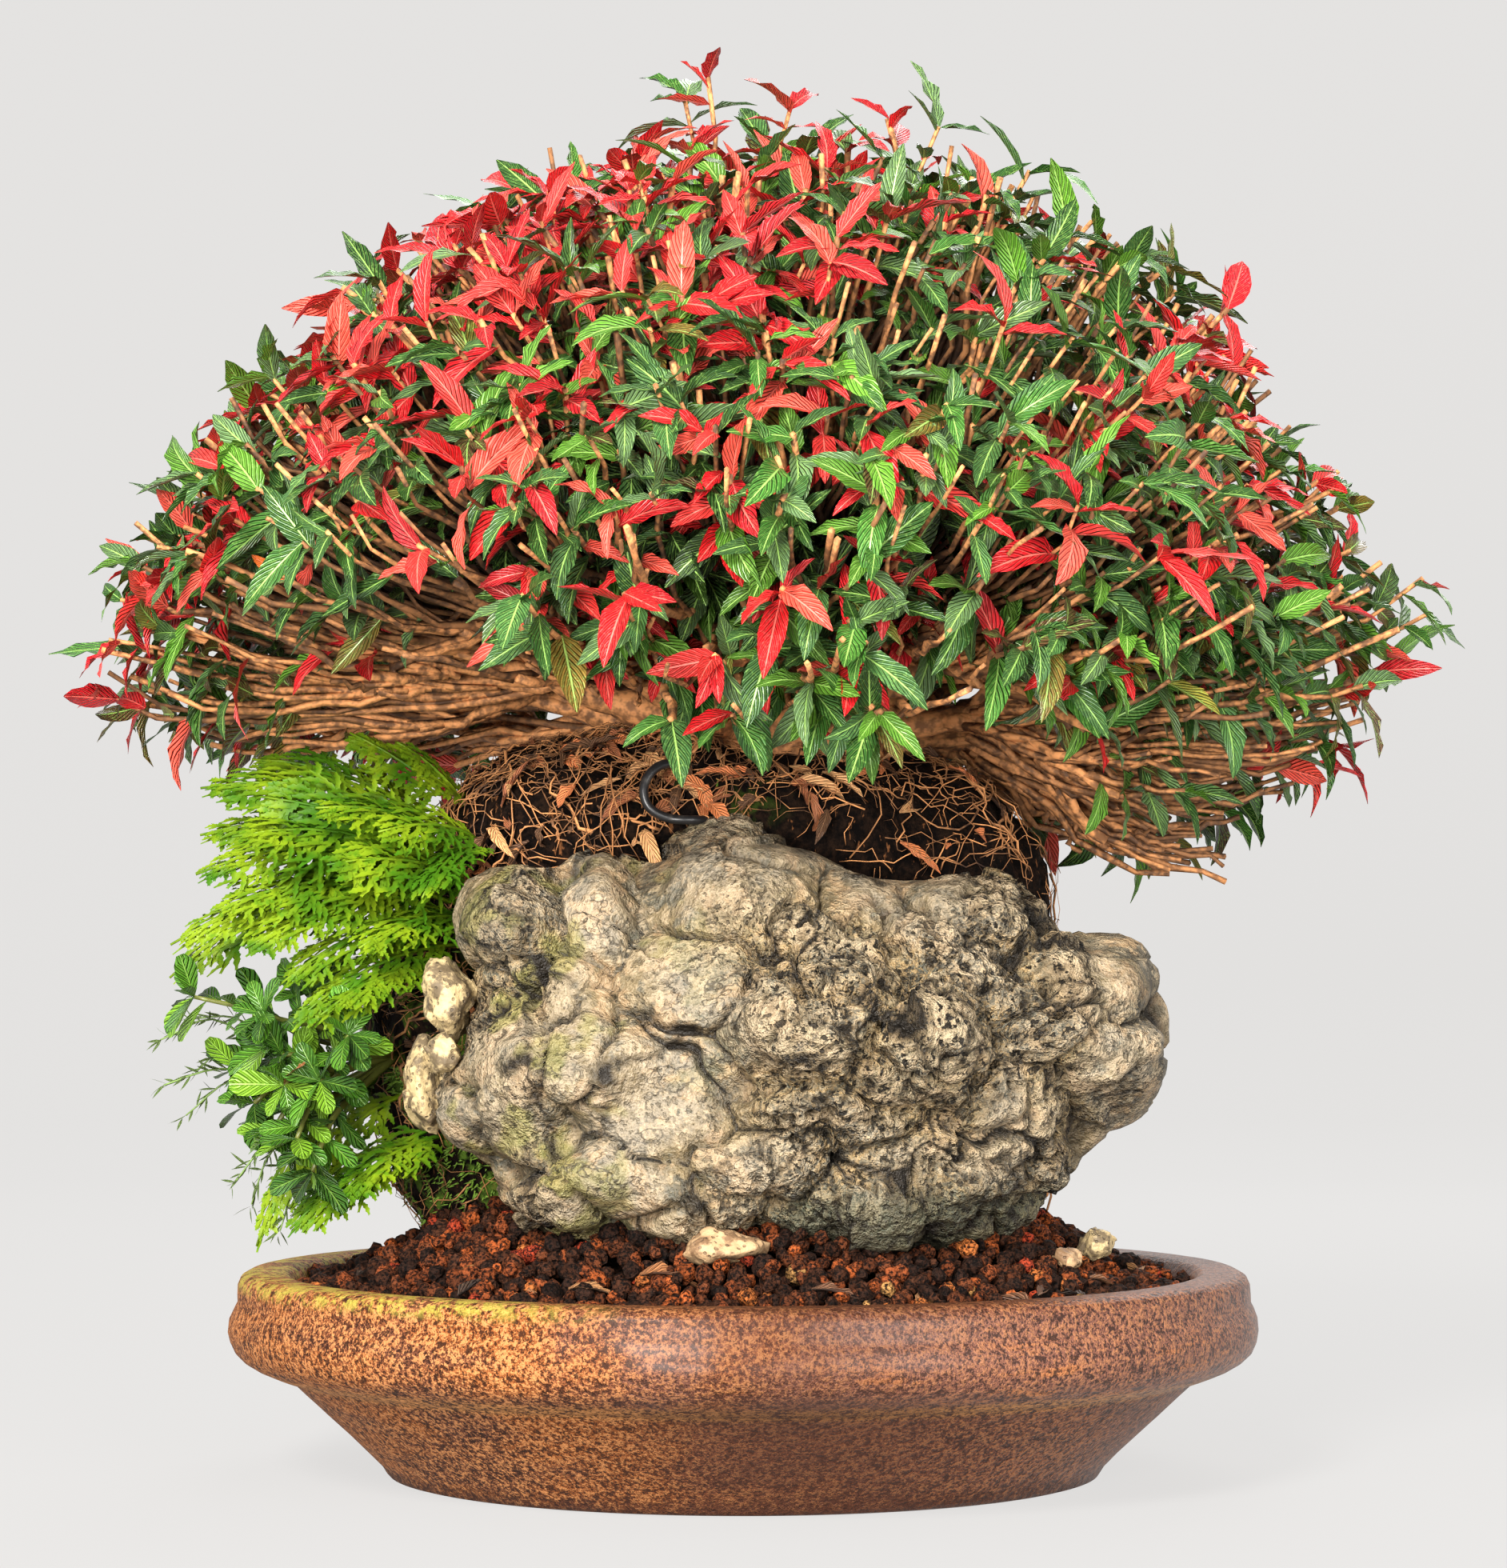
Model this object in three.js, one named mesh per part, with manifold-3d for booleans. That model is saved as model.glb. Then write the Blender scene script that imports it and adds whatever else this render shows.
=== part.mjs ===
// Asiatic jasmine clump grown over a pitted stone in a shallow round stoneware pot.
// Millimetres, +Z up. The origin is the middle of the pot's flat foot.
import * as THREE from 'three';
import Module from 'manifold-3d';

const wasm = await Module();
wasm.setup();
const { Manifold, Mesh: ClosedMesh } = wasm;

// Pot, soil
const potFacets = 40;
const potOutside = [[88, 0], [89.8, 3], [112.8, 24.5], [121.2, 27.6], [126, 31.2],
  [127.6, 36], [125.9, 42.8], [125, 48.2], [122, 50.4], [113.5, 50.2]];
const potInside = [[111.8, 48], [104, 30], [84, 8]];
const drainRadius = 8;
const drainReach = 39;
const meshSide = 26;
const meshThickness = 1.2;
const soilEdge = 110.5;
const soilEdgeHeight = 46.6;
const soilRise = 19;
const soilSlope = 50;
const seatGap = 0.6;

// Stone: each lobe is centre x, y, z and radii x, y, z
const stoneCentre = [12, -42, 106];
const stoneLobes = [
  [13.6, -36, 107.8, 63.8, 34, 36.8], [-56.1, -35, 134.9, 12.6, 28, 16.5],
  [-35.6, -38, 139.7, 8.7, 26, 12.6], [0.1, -30, 138.8, 29.2, 36, 20.4],
  [21.0, -58, 111.2, 32.2, 38, 18.0], [44.3, -66, 108.4, 11.3, 24, 11.3],
  [-35.4, -45, 100.3, 28.8, 38, 17.3], [13.5, -52, 91.0, 19.1, 36, 9.5],
  [-59.8, -38, 92.4, 14.5, 28, 12.6], [-36.2, -48, 77.4, 21.0, 34, 9.6],
  [-42.1, -46, 68.7, 12.5, 28, 7.3], [-11.3, -50, 77.5, 16.2, 34, 11.5],
  [-13.2, -56, 65.5, 10.4, 22, 4.8], [34.6, -45, 69.6, 30.7, 40, 11.9],
  [50.6, -32, 133.9, 19.4, 32, 14.6], [71.5, -38, 109.8, 18.3, 34, 22.2],
  [89.5, -35, 118.4, 11.2, 24, 11.6], [90.1, -35, 101.0, 11.6, 24, 10.8],
  [74.0, -35, 79.7, 6.3, 12, 8.4], [6, -42, 84, 54, 34, 22], [40, -42, 88, 38, 34, 24],
  [-46, -37, 119, 16, 28, 13]];

// Root ball under the clump, behind and over the stone
const ballCentre = [-10, 26, 118];
const ballLobes = [
  [-12, 26, 116, 78, 54, 56], [-48, 24, 104, 47, 46, 44], [-8, 15, 160, 64, 46, 25],
  [-42, 20, 148, 35, 40, 28], [38, 22, 146, 38, 42, 29], [36, 28, 112, 41, 50, 50],
  [-6, 30, 70, 82, 54, 26]];

// Small stones wedged beside the big one and lying on the soil
const smallStones = [
  ['wedge_stone_upper', [-71, -40, 117.5], [7, 11, 10.2], 'pale_stone', 11],
  ['wedge_stone_round', [-71.5, -50, 105], [4.4, 6, 4.4], 'pale_stone', 12],
  ['wedge_stone_long', [-76.5, -36, 96.5], [5, 10, 12], 'pale_stone', 13],
  ['wedge_stone_tan', [-5, -79, 61], [9.6, 9, 5], 'tan_stone', 14],
  ['soil_pebble_large', [85.5, -32, 58.5], [5.2, 5.6, 4.2], 'pale_stone', 15],
  ['soil_pebble_small', [77.5, -46, 55.8], [3.6, 4, 3.2], 'tan_stone', 16]];

// Clump: shoots fan from the crown of short trunks to a domed top
const crown = [4, 6, 178];
const crownRadius = 27;
const limbEnd = 58;
const domeRadius = 165;
const cellMargin = 1.5;
const leafLength = 25;
const leafWidth = 10;
const ribThickness = 1.3;
const twigsPerShoot = 5;
// Twigs that hang in front: turn from the shoot's azimuth, rise, share of the dome's reach
const frontTwigs = [[-0.1, 0.12, 0.66], [0.12, 0.2, 0.78]];

// Seeded draws
function seeded(seed) {
  let state = seed >>> 0;
  return () => {
    state = (state + 0x6d2b79f5) >>> 0;
    let t = Math.imul(state ^ (state >>> 15), 1 | state);
    t = (t + Math.imul(t ^ (t >>> 7), 61 | t)) ^ t;
    return ((t ^ (t >>> 14)) >>> 0) / 4294967296;
  };
}

const add = (a, b, k = 1) => [a[0] + b[0] * k, a[1] + b[1] * k, a[2] + b[2] * k];
const sub = (a, b) => [a[0] - b[0], a[1] - b[1], a[2] - b[2]];
const scale = (a, k) => [a[0] * k, a[1] * k, a[2] * k];
const dot = (a, b) => a[0] * b[0] + a[1] * b[1] + a[2] * b[2];
const cross = (a, b) => [a[1] * b[2] - a[2] * b[1], a[2] * b[0] - a[0] * b[2],
  a[0] * b[1] - a[1] * b[0]];
const size = (a) => Math.hypot(a[0], a[1], a[2]);
const unit = (a) => scale(a, 1 / (size(a) || 1));
const mix = (a, b, t) => a + (b - a) * t;
const smoothstep = (t) => {
  const c = Math.min(1, Math.max(0, t));
  return c * c * (3 - 2 * c);
};

// Value of a lattice point, from -1 to 1
function lattice(i, j, k) {
  let h = Math.imul(i, 374761393) + Math.imul(j, 668265263) + Math.imul(k, 1442695041);
  h = Math.imul(h ^ (h >>> 13), 1274126177);
  return (((h ^ (h >>> 16)) >>> 0) / 4294967295) * 2 - 1;
}

// Smooth random field over space
function field(p, wave) {
  const q = scale(p, 1 / wave);
  const c = q.map(Math.floor);
  const f = q.map((v, i) => smoothstep(v - c[i]));
  let sum = 0;
  for (let n = 0; n < 8; n += 1) {
    const o = [n & 1, (n >> 1) & 1, (n >> 2) & 1];
    const w = o.reduce((a, v, i) => a * (v ? f[i] : 1 - f[i]), 1);
    sum += w * lattice(c[0] + o[0], c[1] + o[1], c[2] + o[2]);
  }
  return sum;
}

// Closed solid from points and triangles, turned outward if it is inside out
function solid(points, triangles) {
  let volume = 0;
  for (const [a, b, c] of triangles) {
    volume += dot(points[a], cross(points[b], points[c]));
  }
  const faces = volume < 0 ? triangles.map(([a, b, c]) => [a, c, b]) : triangles;
  return new Manifold(new ClosedMesh({
    numProp: 3,
    vertProperties: new Float32Array(points.flat()),
    triVerts: new Uint32Array(faces.flat()),
  }));
}

// Skin over rings of points, each end either a flat cap or drawn to a point
function skin(rings, startPoint, endPoint) {
  const n = rings[0].length;
  const points = rings.flat();
  const faces = [];
  for (let r = 0; r + 1 < rings.length; r += 1) {
    for (let i = 0; i < n; i += 1) {
      const j = (i + 1) % n;
      faces.push([r * n + i, r * n + j, (r + 1) * n + j]);
      faces.push([r * n + i, (r + 1) * n + j, (r + 1) * n + i]);
    }
  }
  const last = (rings.length - 1) * n;
  if (startPoint) {
    points.push(startPoint);
    const s = points.length - 1;
    for (let i = 0; i < n; i += 1) faces.push([s, (i + 1) % n, i]);
  } else {
    for (let i = 1; i + 1 < n; i += 1) faces.push([0, i + 1, i]);
  }
  if (endPoint) {
    points.push(endPoint);
    const e = points.length - 1;
    for (let i = 0; i < n; i += 1) faces.push([e, last + i, last + ((i + 1) % n)]);
  } else {
    for (let i = 1; i + 1 < n; i += 1) faces.push([last, last + i, last + i + 1]);
  }
  return solid(points, faces);
}

function turned(profile, sides, low, high) {
  const rings = profile.map(([r, z]) => Array.from({ length: sides }, (_, i) => {
    const a = (2 * Math.PI * i) / sides;
    return [r * Math.cos(a), r * Math.sin(a), z];
  }));
  return skin(rings, [0, 0, low], [0, 0, high]);
}

// Round stem through points, with a radius at each; a last radius of 0 ends in a point
function stem(path, radii, sides, turn = 0) {
  const tangent = (i) => unit(sub(path[Math.min(i + 1, path.length - 1)], path[Math.max(i - 1, 0)]));
  let side = Math.abs(tangent(0)[2]) < 0.9 ? [0, 0, 1] : [1, 0, 0];
  const rings = [];
  const pointed = radii[radii.length - 1] === 0;
  const count = pointed ? path.length - 1 : path.length;
  for (let i = 0; i < count; i += 1) {
    const t = tangent(i);
    side = unit(sub(side, scale(t, dot(side, t))));
    const up = cross(t, side);
    rings.push(Array.from({ length: sides }, (_, k) => {
      const a = (2 * Math.PI * k) / sides + turn;
      return add(add(path[i], side, Math.cos(a) * radii[i]), up, Math.sin(a) * radii[i]);
    }));
  }
  return skin(rings, null, pointed ? path[path.length - 1] : null);
}

// A growing skin: stems and leaves are drawn out of its faces, so that all is one body
function ringAround(centre, way, radius, turn = 0) {
  const side = unit(cross(Math.abs(way[2]) < 0.9 ? [0, 0, 1] : [1, 0, 0], way));
  const up = cross(way, side);
  return Array.from({ length: 3 }, (_, k) => {
    const a = (2 * Math.PI * k) / 3 + turn;
    return add(add(centre, side, Math.cos(a) * radius), up, Math.sin(a) * radius);
  });
}

const middleOf = (points) => scale(points.reduce((a, p) => add(a, p), [0, 0, 0]), 1 / points.length);

// The ring, started at the corner that twists least from the loop it joins
function aligned(loop, ring) {
  const [c, d] = [middleOf(loop), middleOf(ring)];
  const n = ring.length;
  let best = null;
  for (let k = 0; k < n; k += 1) {
    const turned = ring.map((_, i) => ring[(i + k) % n]);
    const match = turned.reduce((sum, p, i) => sum + dot(unit(sub(p, d)), unit(sub(loop[i], c))), 0);
    if (!best || match > best.match + 0.15) best = { match, turned };
  }
  return best.turned;
}

// Draws the loop left by the removed faces out through rings, to a point or a flat end
function drawOut(body, removed, loop, rings, point) {
  removed.forEach((k) => { body.faces[k] = null; });
  const made = [];
  let last = loop;
  for (const ring of rings) {
    const fitted = aligned(last.map((i) => body.points[i]), ring);
    const next = fitted.map((p) => body.points.push(p) - 1);
    const n = last.length;
    for (let i = 0; i < n; i += 1) {
      const j = (i + 1) % n;
      body.faces.push([last[i], last[j], next[j]]);
      body.faces.push([last[i], next[j], next[i]]);
    }
    made.push(body.faces.length - 2 * n);
    last = next;
  }
  if (point) {
    const tip = body.points.push(point) - 1;
    last.forEach((v, i) => body.faces.push([v, last[(i + 1) % last.length], tip]));
    return { made, end: null, loop: last };
  }
  const end = [];
  for (let i = 1; i + 1 < last.length; i += 1) {
    end.push(body.faces.push([last[0], last[i], last[i + 1]]) - 1);
  }
  return { made, end, loop: last };
}

const mark = (body) => [body.points.length, body.faces.length];
function undo(body, [points, faces], saved) {
  body.points.length = points;
  body.faces.length = faces;
  saved.forEach(([k, face]) => { body.faces[k] = face; });
}

function crossesEdge(a, b, [p, q, r]) {
  const normal = cross(sub(q, p), sub(r, p));
  const u = dot(sub(a, p), normal);
  const v = dot(sub(b, p), normal);
  if (u * v >= 0) return false;
  const x = add(a, sub(b, a), u / (u - v));
  return [[p, q], [q, r], [r, p]].every(([s, t]) => dot(cross(sub(t, s), sub(x, s)), normal) >= 0);
}

// Whether the faces from a mark onward keep clear of the earlier ones
function isClear(body, [, from]) {
  const list = body.faces.map((f, k) => {
    if (!f) return null;
    const points = f.map((i) => body.points[i]);
    const low = [0, 1, 2].map((k2) => Math.min(...points.map((p) => p[k2])));
    const high = [0, 1, 2].map((k2) => Math.max(...points.map((p) => p[k2])));
    return { f, points, low, high, k };
  });
  for (let i = from; i < list.length; i += 1) {
    const a = list[i];
    for (let j = 0; a && j < i; j += 1) {
      const b = list[j];
      if (!b || a.low.some((v, k) => v > b.high[k]) || b.low.some((v, k) => v > a.high[k])) continue;
      if (a.f.filter((v) => b.f.includes(v)).length > 1) continue;
      for (const [s, t] of [[a, b], [b, a]]) {
        for (let e = 0; e < 3; e += 1) {
          const [u, v] = [e, (e + 1) % 3];
          if (t.f.includes(s.f[u]) || t.f.includes(s.f[v])) continue;
          if (crossesEdge(s.points[u], s.points[v], t.points)) return false;
        }
      }
    }
  }
  return true;
}

// Rings of a waved leaf with a raised rib, and its tip
function leafRings(base, along, face, length, width, rib, droop, wave) {
  const side = unit(cross(face, along));
  const axis = (t) => add(add(base, along, length * t), face, -droop * t * t * length);
  const rings = [[0.3, 0.43, 1], [0.66, 0.46, -1]].map(([t, w, sign]) => {
    const c = axis(t);
    const edge = sign * wave - 0.35 * rib;
    return [add(add(c, side, w * width), face, edge), add(c, face, 0.65 * rib),
      add(add(c, side, -w * width), face, edge)];
  });
  return { rings, tip: axis(1) };
}

// Leaf drawn from a three-sided face, kept only where it is clear and allowed
function growLeaf(body, faceIndex, draw, shape) {
  const loop = body.faces[faceIndex];
  const corners = loop.map((i) => body.points[i]);
  const base = middleOf(corners);
  const normal = unit(cross(sub(corners[1], corners[0]), sub(corners[2], corners[0])));
  for (let trial = 0; trial < 60; trial += 1) {
    const along = unit(shape.along(normal, base));
    if (dot(along, normal) < 0.35) continue;
    const lean = shape.lean(base, along);
    const face = unit(sub(lean, scale(along, dot(lean, along))));
    const length = shape.length * (0.84 + 0.3 * draw());
    const width = shape.width * (0.86 + 0.28 * draw());
    const { rings, tip } = leafRings(base, along, face, length, width, shape.rib,
      shape.droop * draw(), shape.wave * (0.6 + 0.8 * draw()));
    if (![...rings.flat(), tip].every(shape.allowed)) continue;
    const start = mark(body);
    drawOut(body, [faceIndex], loop, rings, tip);
    if (isClear(body, start)) return true;
    undo(body, start, [[faceIndex, loop]]);
  }
  return false;
}

// Twig drawn from a face along a path, with leaf pairs at some steps and one at its tip
function growTwig(body, faceIndex, path, radii, pairs, draw, shape) {
  const loop = body.faces[faceIndex];
  const start = mark(body);
  const joint = 1.5;
  const stops = [];
  path.forEach((p, i) => {
    const way = unit(sub(path[Math.min(i + 1, path.length - 1)], path[Math.max(i - 1, 0)]));
    if (i === 0) return;
    stops.push([p, way, radii[i]]);
    if (pairs.includes(i)) stops.push([add(p, way, joint + radii[i]), way, radii[i]]);
  });
  const turn = draw() * 2;
  const rings = stops.map(([p, way, r]) => ringAround(p, way, r, turn));
  const { made, end } = drawOut(body, [faceIndex], loop, rings, null);
  if (!isClear(body, start)) {
    undo(body, start, [[faceIndex, loop]]);
    return null;
  }
  const slots = [];
  let step = -1;
  path.forEach((p, i) => {
    if (i === 0) return;
    step += 1;
    if (pairs.includes(i)) {
      step += 1;
      slots.push([made[step] + 1, made[step] + 3, made[step] + 5]);
    }
  });
  return { end: end[0], slots };
}

// Small six-faced knot on a three-cornered foot, whose faces the twigs are drawn from
function knot(foot, way, footRadius, topRadius, height) {
  const low = ringAround(foot, way, footRadius, 0);
  const high = ringAround(add(foot, way, height), way, topRadius, Math.PI / 3);
  const faces = [[0, 2, 1], [3, 4, 5]];
  for (let i = 0; i < 3; i += 1) {
    const j = (i + 1) % 3;
    faces.push([i, j, 3 + i], [j, 3 + j, 3 + i]);
  }
  return { points: [...low, ...high], faces };
}
const finished = (body) => solid(body.points, body.faces.filter(Boolean));

// Directions spread evenly over a ball as a cube grid, drawn towards one side by a shift
function ballGrid(n, shift = [0, 0, 0]) {
  const index = new Map();
  const directions = [];
  const faces = [];
  const quads = [];
  const vertex = (p) => {
    const key = p.map((v) => Math.round(v * 1e6)).join();
    if (!index.has(key)) {
      index.set(key, directions.length);
      directions.push(unit(add(unit(p.map((v) => Math.tan((v * Math.PI) / 4))), shift)));
    }
    return index.get(key);
  };
  for (let axis = 0; axis < 3; axis += 1) {
    for (const sign of [-1, 1]) {
      for (let i = 0; i < n; i += 1) {
        for (let j = 0; j < n; j += 1) {
          const at = (u, v) => {
            const p = [0, 0, 0];
            p[axis] = sign;
            p[(axis + 1) % 3] = (2 * u) / n - 1;
            p[(axis + 2) % 3] = (2 * v) / n - 1;
            return vertex(p);
          };
          const [a, b, c, d] = [at(i, j), at(i + 1, j), at(i + 1, j + 1), at(i, j + 1)];
          const even = (i + j) % 2 === 0;
          const pair = even ? [[a, b, c], [a, c, d]] : [[a, b, d], [b, c, d]];
          for (const t of pair) faces.push(sign > 0 ? t : [t[0], t[2], t[1]]);
          quads.push(sign > 0 ? [a, b, c, d] : [a, d, c, b]);
        }
      }
    }
  }
  return { directions, faces, quads };
}

// Distance to a group of smoothly joined egg-shaped lobes
function lobeDistance(p, lobes, blend) {
  let d = 1e9;
  for (const [x, y, z, a, b, c] of lobes) {
    const q = [(p[0] - x) / a, (p[1] - y) / b, (p[2] - z) / c];
    const k = size(q);
    const g = Math.hypot(q[0] / a, q[1] / b, q[2] / c) || 1e-9;
    const e = k * (k - 1) / g;
    const h = Math.max(blend - Math.abs(d - e), 0) / blend;
    d = Math.min(d, e) - (h * h * blend) / 4;
  }
  return d;
}

// Lumpy body round a centre: its surface is where the lobes end, swelled by a gap
function lumpPoints({ centre, lobes, blend, grid, swell = 0, relief }) {
  return grid.directions.map((d) => {
    let r = 190;
    while (r > 2 && lobeDistance(add(centre, d, r), lobes, blend) > swell) r -= 1;
    let low = r;
    let high = r + 1;
    for (let i = 0; i < 8; i += 1) {
      const middle = (low + high) / 2;
      if (lobeDistance(add(centre, d, middle), lobes, blend) > swell) high = middle;
      else low = middle;
    }
    return add(centre, d, low + relief(add(centre, d, low - swell), d));
  });
}
const lump = (shape) => solid(lumpPoints(shape), shape.grid.faces);

const group = new THREE.Group();
const counts = {};

function place(name, body, slot, colour) {
  const parts = body.decompose();
  let whole = body;
  if (parts.length > 1) {
    parts.sort((a, b) => Math.abs(b.volume()) - Math.abs(a.volume()));
    [whole] = parts;
  }
  const { vertProperties, triVerts, numProp } = whole.getMesh();
  const position = new Float32Array((vertProperties.length / numProp) * 3);
  for (let i = 0; i * numProp < vertProperties.length; i += 1) {
    for (let k = 0; k < 3; k += 1) position[i * 3 + k] = vertProperties[i * numProp + k];
  }
  const geometry = new THREE.BufferGeometry();
  geometry.setAttribute('position', new THREE.BufferAttribute(position, 3));
  geometry.setIndex([...triVerts]);
  geometry.computeVertexNormals();
  const material = new THREE.MeshStandardMaterial({ color: colour, flatShading: true });
  material.name = slot;
  const mesh = new THREE.Mesh(geometry, material);
  mesh.name = name;
  group.add(mesh);
  counts[name] = triVerts.length / 3;
  return whole;
}

const colours = {
  stoneware: 0x7a4a30, lava_gravel: 0x5a2f22, grey_stone: 0x8d9182, pale_stone: 0xcfc3a4,
  tan_stone: 0xb4915c, peat_roots: 0x3b2a1e, bark: 0x6f4a2e, green_leaf: 0x39632a,
  red_leaf: 0xa8372b, spikemoss: 0x7cb52c, seedling_leaf: 0x3f7a2c, black_wire: 0x1c1c1c,
  black_plastic: 0x2a2a2a, fallen_leaf: 0x8a5a2a, grass: 0x5c7a3c };

// Pot
const hole = (x) => skin([0, 1].map((k) => Array.from({ length: 12 }, (_, i) => {
  const a = (2 * Math.PI * (i + 0.5)) / 12;
  return [x + drainRadius * Math.cos(a), drainRadius * Math.sin(a), k ? 12 : -2];
})), null, null);
const pot = turned([...potOutside, ...potInside], potFacets, 0, 8)
  .subtract(hole(-drainReach)).subtract(hole(drainReach));
place('pot', pot, 'stoneware', colours.stoneware);

function box(low, high) {
  const rings = [low[2], high[2]].map((z) => [[low[0], low[1], z], [high[0], low[1], z],
    [high[0], high[1], z], [low[0], high[1], z]]);
  return skin(rings, null, null);
}

const potFloor = potInside[2][1];
function drainMesh(x) {
  const low = potFloor + 0.3;
  let plate = box([x - meshSide / 2, -meshSide / 2, low],
    [x + meshSide / 2, meshSide / 2, low + meshThickness]);
  const openings = 2;
  const pitch = meshSide / openings;
  for (let i = 0; i < openings; i += 1) {
    for (let j = 0; j < openings; j += 1) {
      const u = x - meshSide / 2 + i * pitch;
      const v = -meshSide / 2 + j * pitch;
      plate = plate.subtract(box([u + 1.8, v + 1.8, low - 1],
        [u + pitch - 1.8, v + pitch - 1.8, low + 5]));
    }
  }
  return plate;
}
place('drain_mesh_left', drainMesh(-drainReach), 'black_plastic', colours.black_plastic);
place('drain_mesh_right', drainMesh(drainReach), 'black_plastic', colours.black_plastic);

// Stone
const stoneRelief = (p) => 2 * field(p, 27) + 1 * field(add(p, [40, 9, 3]), 13);
const stoneGrid = ballGrid(11, [0, -0.3, 0]);
const stoneShape = (swell) => lump({ centre: stoneCentre, lobes: stoneLobes, blend: 11,
  grid: stoneGrid, swell, relief: stoneRelief });
const stone = stoneShape(0);
const stoneSeat = stoneShape(1);

// Root ball, its surface ridged by roots
const ballRelief = (p) => 2.2 * (1 - 2 * Math.abs(field(p, 22))) + 1.2 * field(p, 9);
const ballGridPoints = ballGrid(7, [0, -0.1, 0]);
const ballShape = (swell) => lump({ centre: ballCentre, lobes: ballLobes, blend: 12,
  grid: ballGridPoints, swell, relief: ballRelief });

// Small stones
function smallStone([, centre, radii, , seed], swell) {
  const lobes = [[...centre, ...radii]];
  const relief = (p) => (1 + 0.9 * field(add(p, [seed * 7, 0, 0]), 7)) * 0.12 * Math.min(...radii);
  return lump({ centre, lobes, blend: 1, grid: ballGrid(3), swell, relief });
}

// Soil: a mound with grains larger than life, cut to the stones and the root ball
function soilHeight(x, y) {
  const r = Math.hypot(x, y);
  return soilEdgeHeight + soilRise * smoothstep((soilEdge - r) / soilSlope);
}
const soilDraw = seeded(31);
const soilRings = [105, 98, 90, 80, 68, 50];
function soilRing(r, low) {
  return Array.from({ length: potFacets }, (_, i) => {
    const a = (2 * Math.PI * i) / potFacets;
    const x = r * Math.cos(a);
    const y = r * Math.sin(a);
    return [x, y, low ?? soilHeight(x, y) + (soilDraw() - 0.45) * 3.2];
  });
}
let soil = skin([soilRing(potInside[2][0] - 0.5, potFloor + 0.4),
  soilRing(potInside[1][0] - 0.5, potInside[1][1] + 0.2), soilRing(soilEdge, soilEdgeHeight),
  ...soilRings.map((r) => soilRing(r))], [0, 0, potFloor + 0.4], [0, 0, soilEdgeHeight + soilRise]);
for (const x of [-drainReach, drainReach]) {
  const half = meshSide / 2 + 0.4;
  soil = soil.subtract(box([x - half, -half, potFloor - 1],
    [x + half, half, potFloor + meshThickness + 0.8]));
}

// Wire staple that holds the root ball down
const staplePath = [[-11, -18, 173.5], [-16, -30, 175], [-21, -34.5, 173.8], [-24, -36, 169.6],
  [-23.2, -36.5, 164.5], [-18.5, -36, 161.5], [-11, -34.5, 161], [-6, -22, 161.5]];
function wire(grow) {
  const ends = [[0, 1], [7, 6]].map(([a, b]) => add(staplePath[a],
    unit(sub(staplePath[a], staplePath[b])), grow));
  return stem([ends[0], ...staplePath.slice(1, -1), ends[1]], staplePath.map(() => 1.15 + grow), 6);
}

// Trunks: a knotted crown, with limbs to the shoots and bare twigs between them
const azimuthTurn = (a) => [Math.sin(a), -Math.cos(a)];
// Lowest rise of the leaves above the level, by the side seen: front, right, back, left
function skirt(azimuth) {
  const front = smoothstep((Math.cos(azimuth) + 0.35) / 1.2);
  const right = Math.max(0, Math.sin(azimuth)) * (1 - front);
  return (7 + 15 * front - 13 * right) * (Math.PI / 180);
}
function direction(azimuth, rise) {
  const [x, y] = azimuthTurn(azimuth);
  return [x * Math.cos(rise), y * Math.cos(rise), Math.sin(rise)];
}
const bands = [[13, 0.11, 0.1], [9, 0.42, 0.55], [5, 0.74, 0.2], [1, 1, 0]];
const cells = [];
const cellDraw = seeded(7);
for (const [count, share, start] of bands) {
  for (let i = 0; i < count; i += 1) {
    const azimuth = (2 * Math.PI * (i + start + 0.22 * (cellDraw() - 0.5))) / count;
    const low = skirt(azimuth);
    cells.push({ azimuth, share, way: direction(azimuth, low + share * (Math.PI / 2 - low)) });
  }
}
const walls = cells.map((cell, i) => cells.filter((_, j) => j !== i)
  .map((other) => unit(sub(cell.way, other.way))));
const inCell = (p, i, margin) => walls[i].every((w) => dot(w, sub(p, crown)) >= margin);

// Reach of the dome in a direction from the crown
function domeReach(way) {
  const level = Math.hypot(way[0], way[1]);
  const left = smoothstep((-way[0] - 0.75) / 0.25) * 12;
  const right = smoothstep((way[0] - 0.8) / 0.2) * 5;
  const low = smoothstep((0.16 - way[2]) / 0.3) * 30 * (way[0] > 0 ? 1 : 0.6);
  return domeRadius + left + right + 4 * field(scale(way, 100), 45) - low * level;
}

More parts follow.
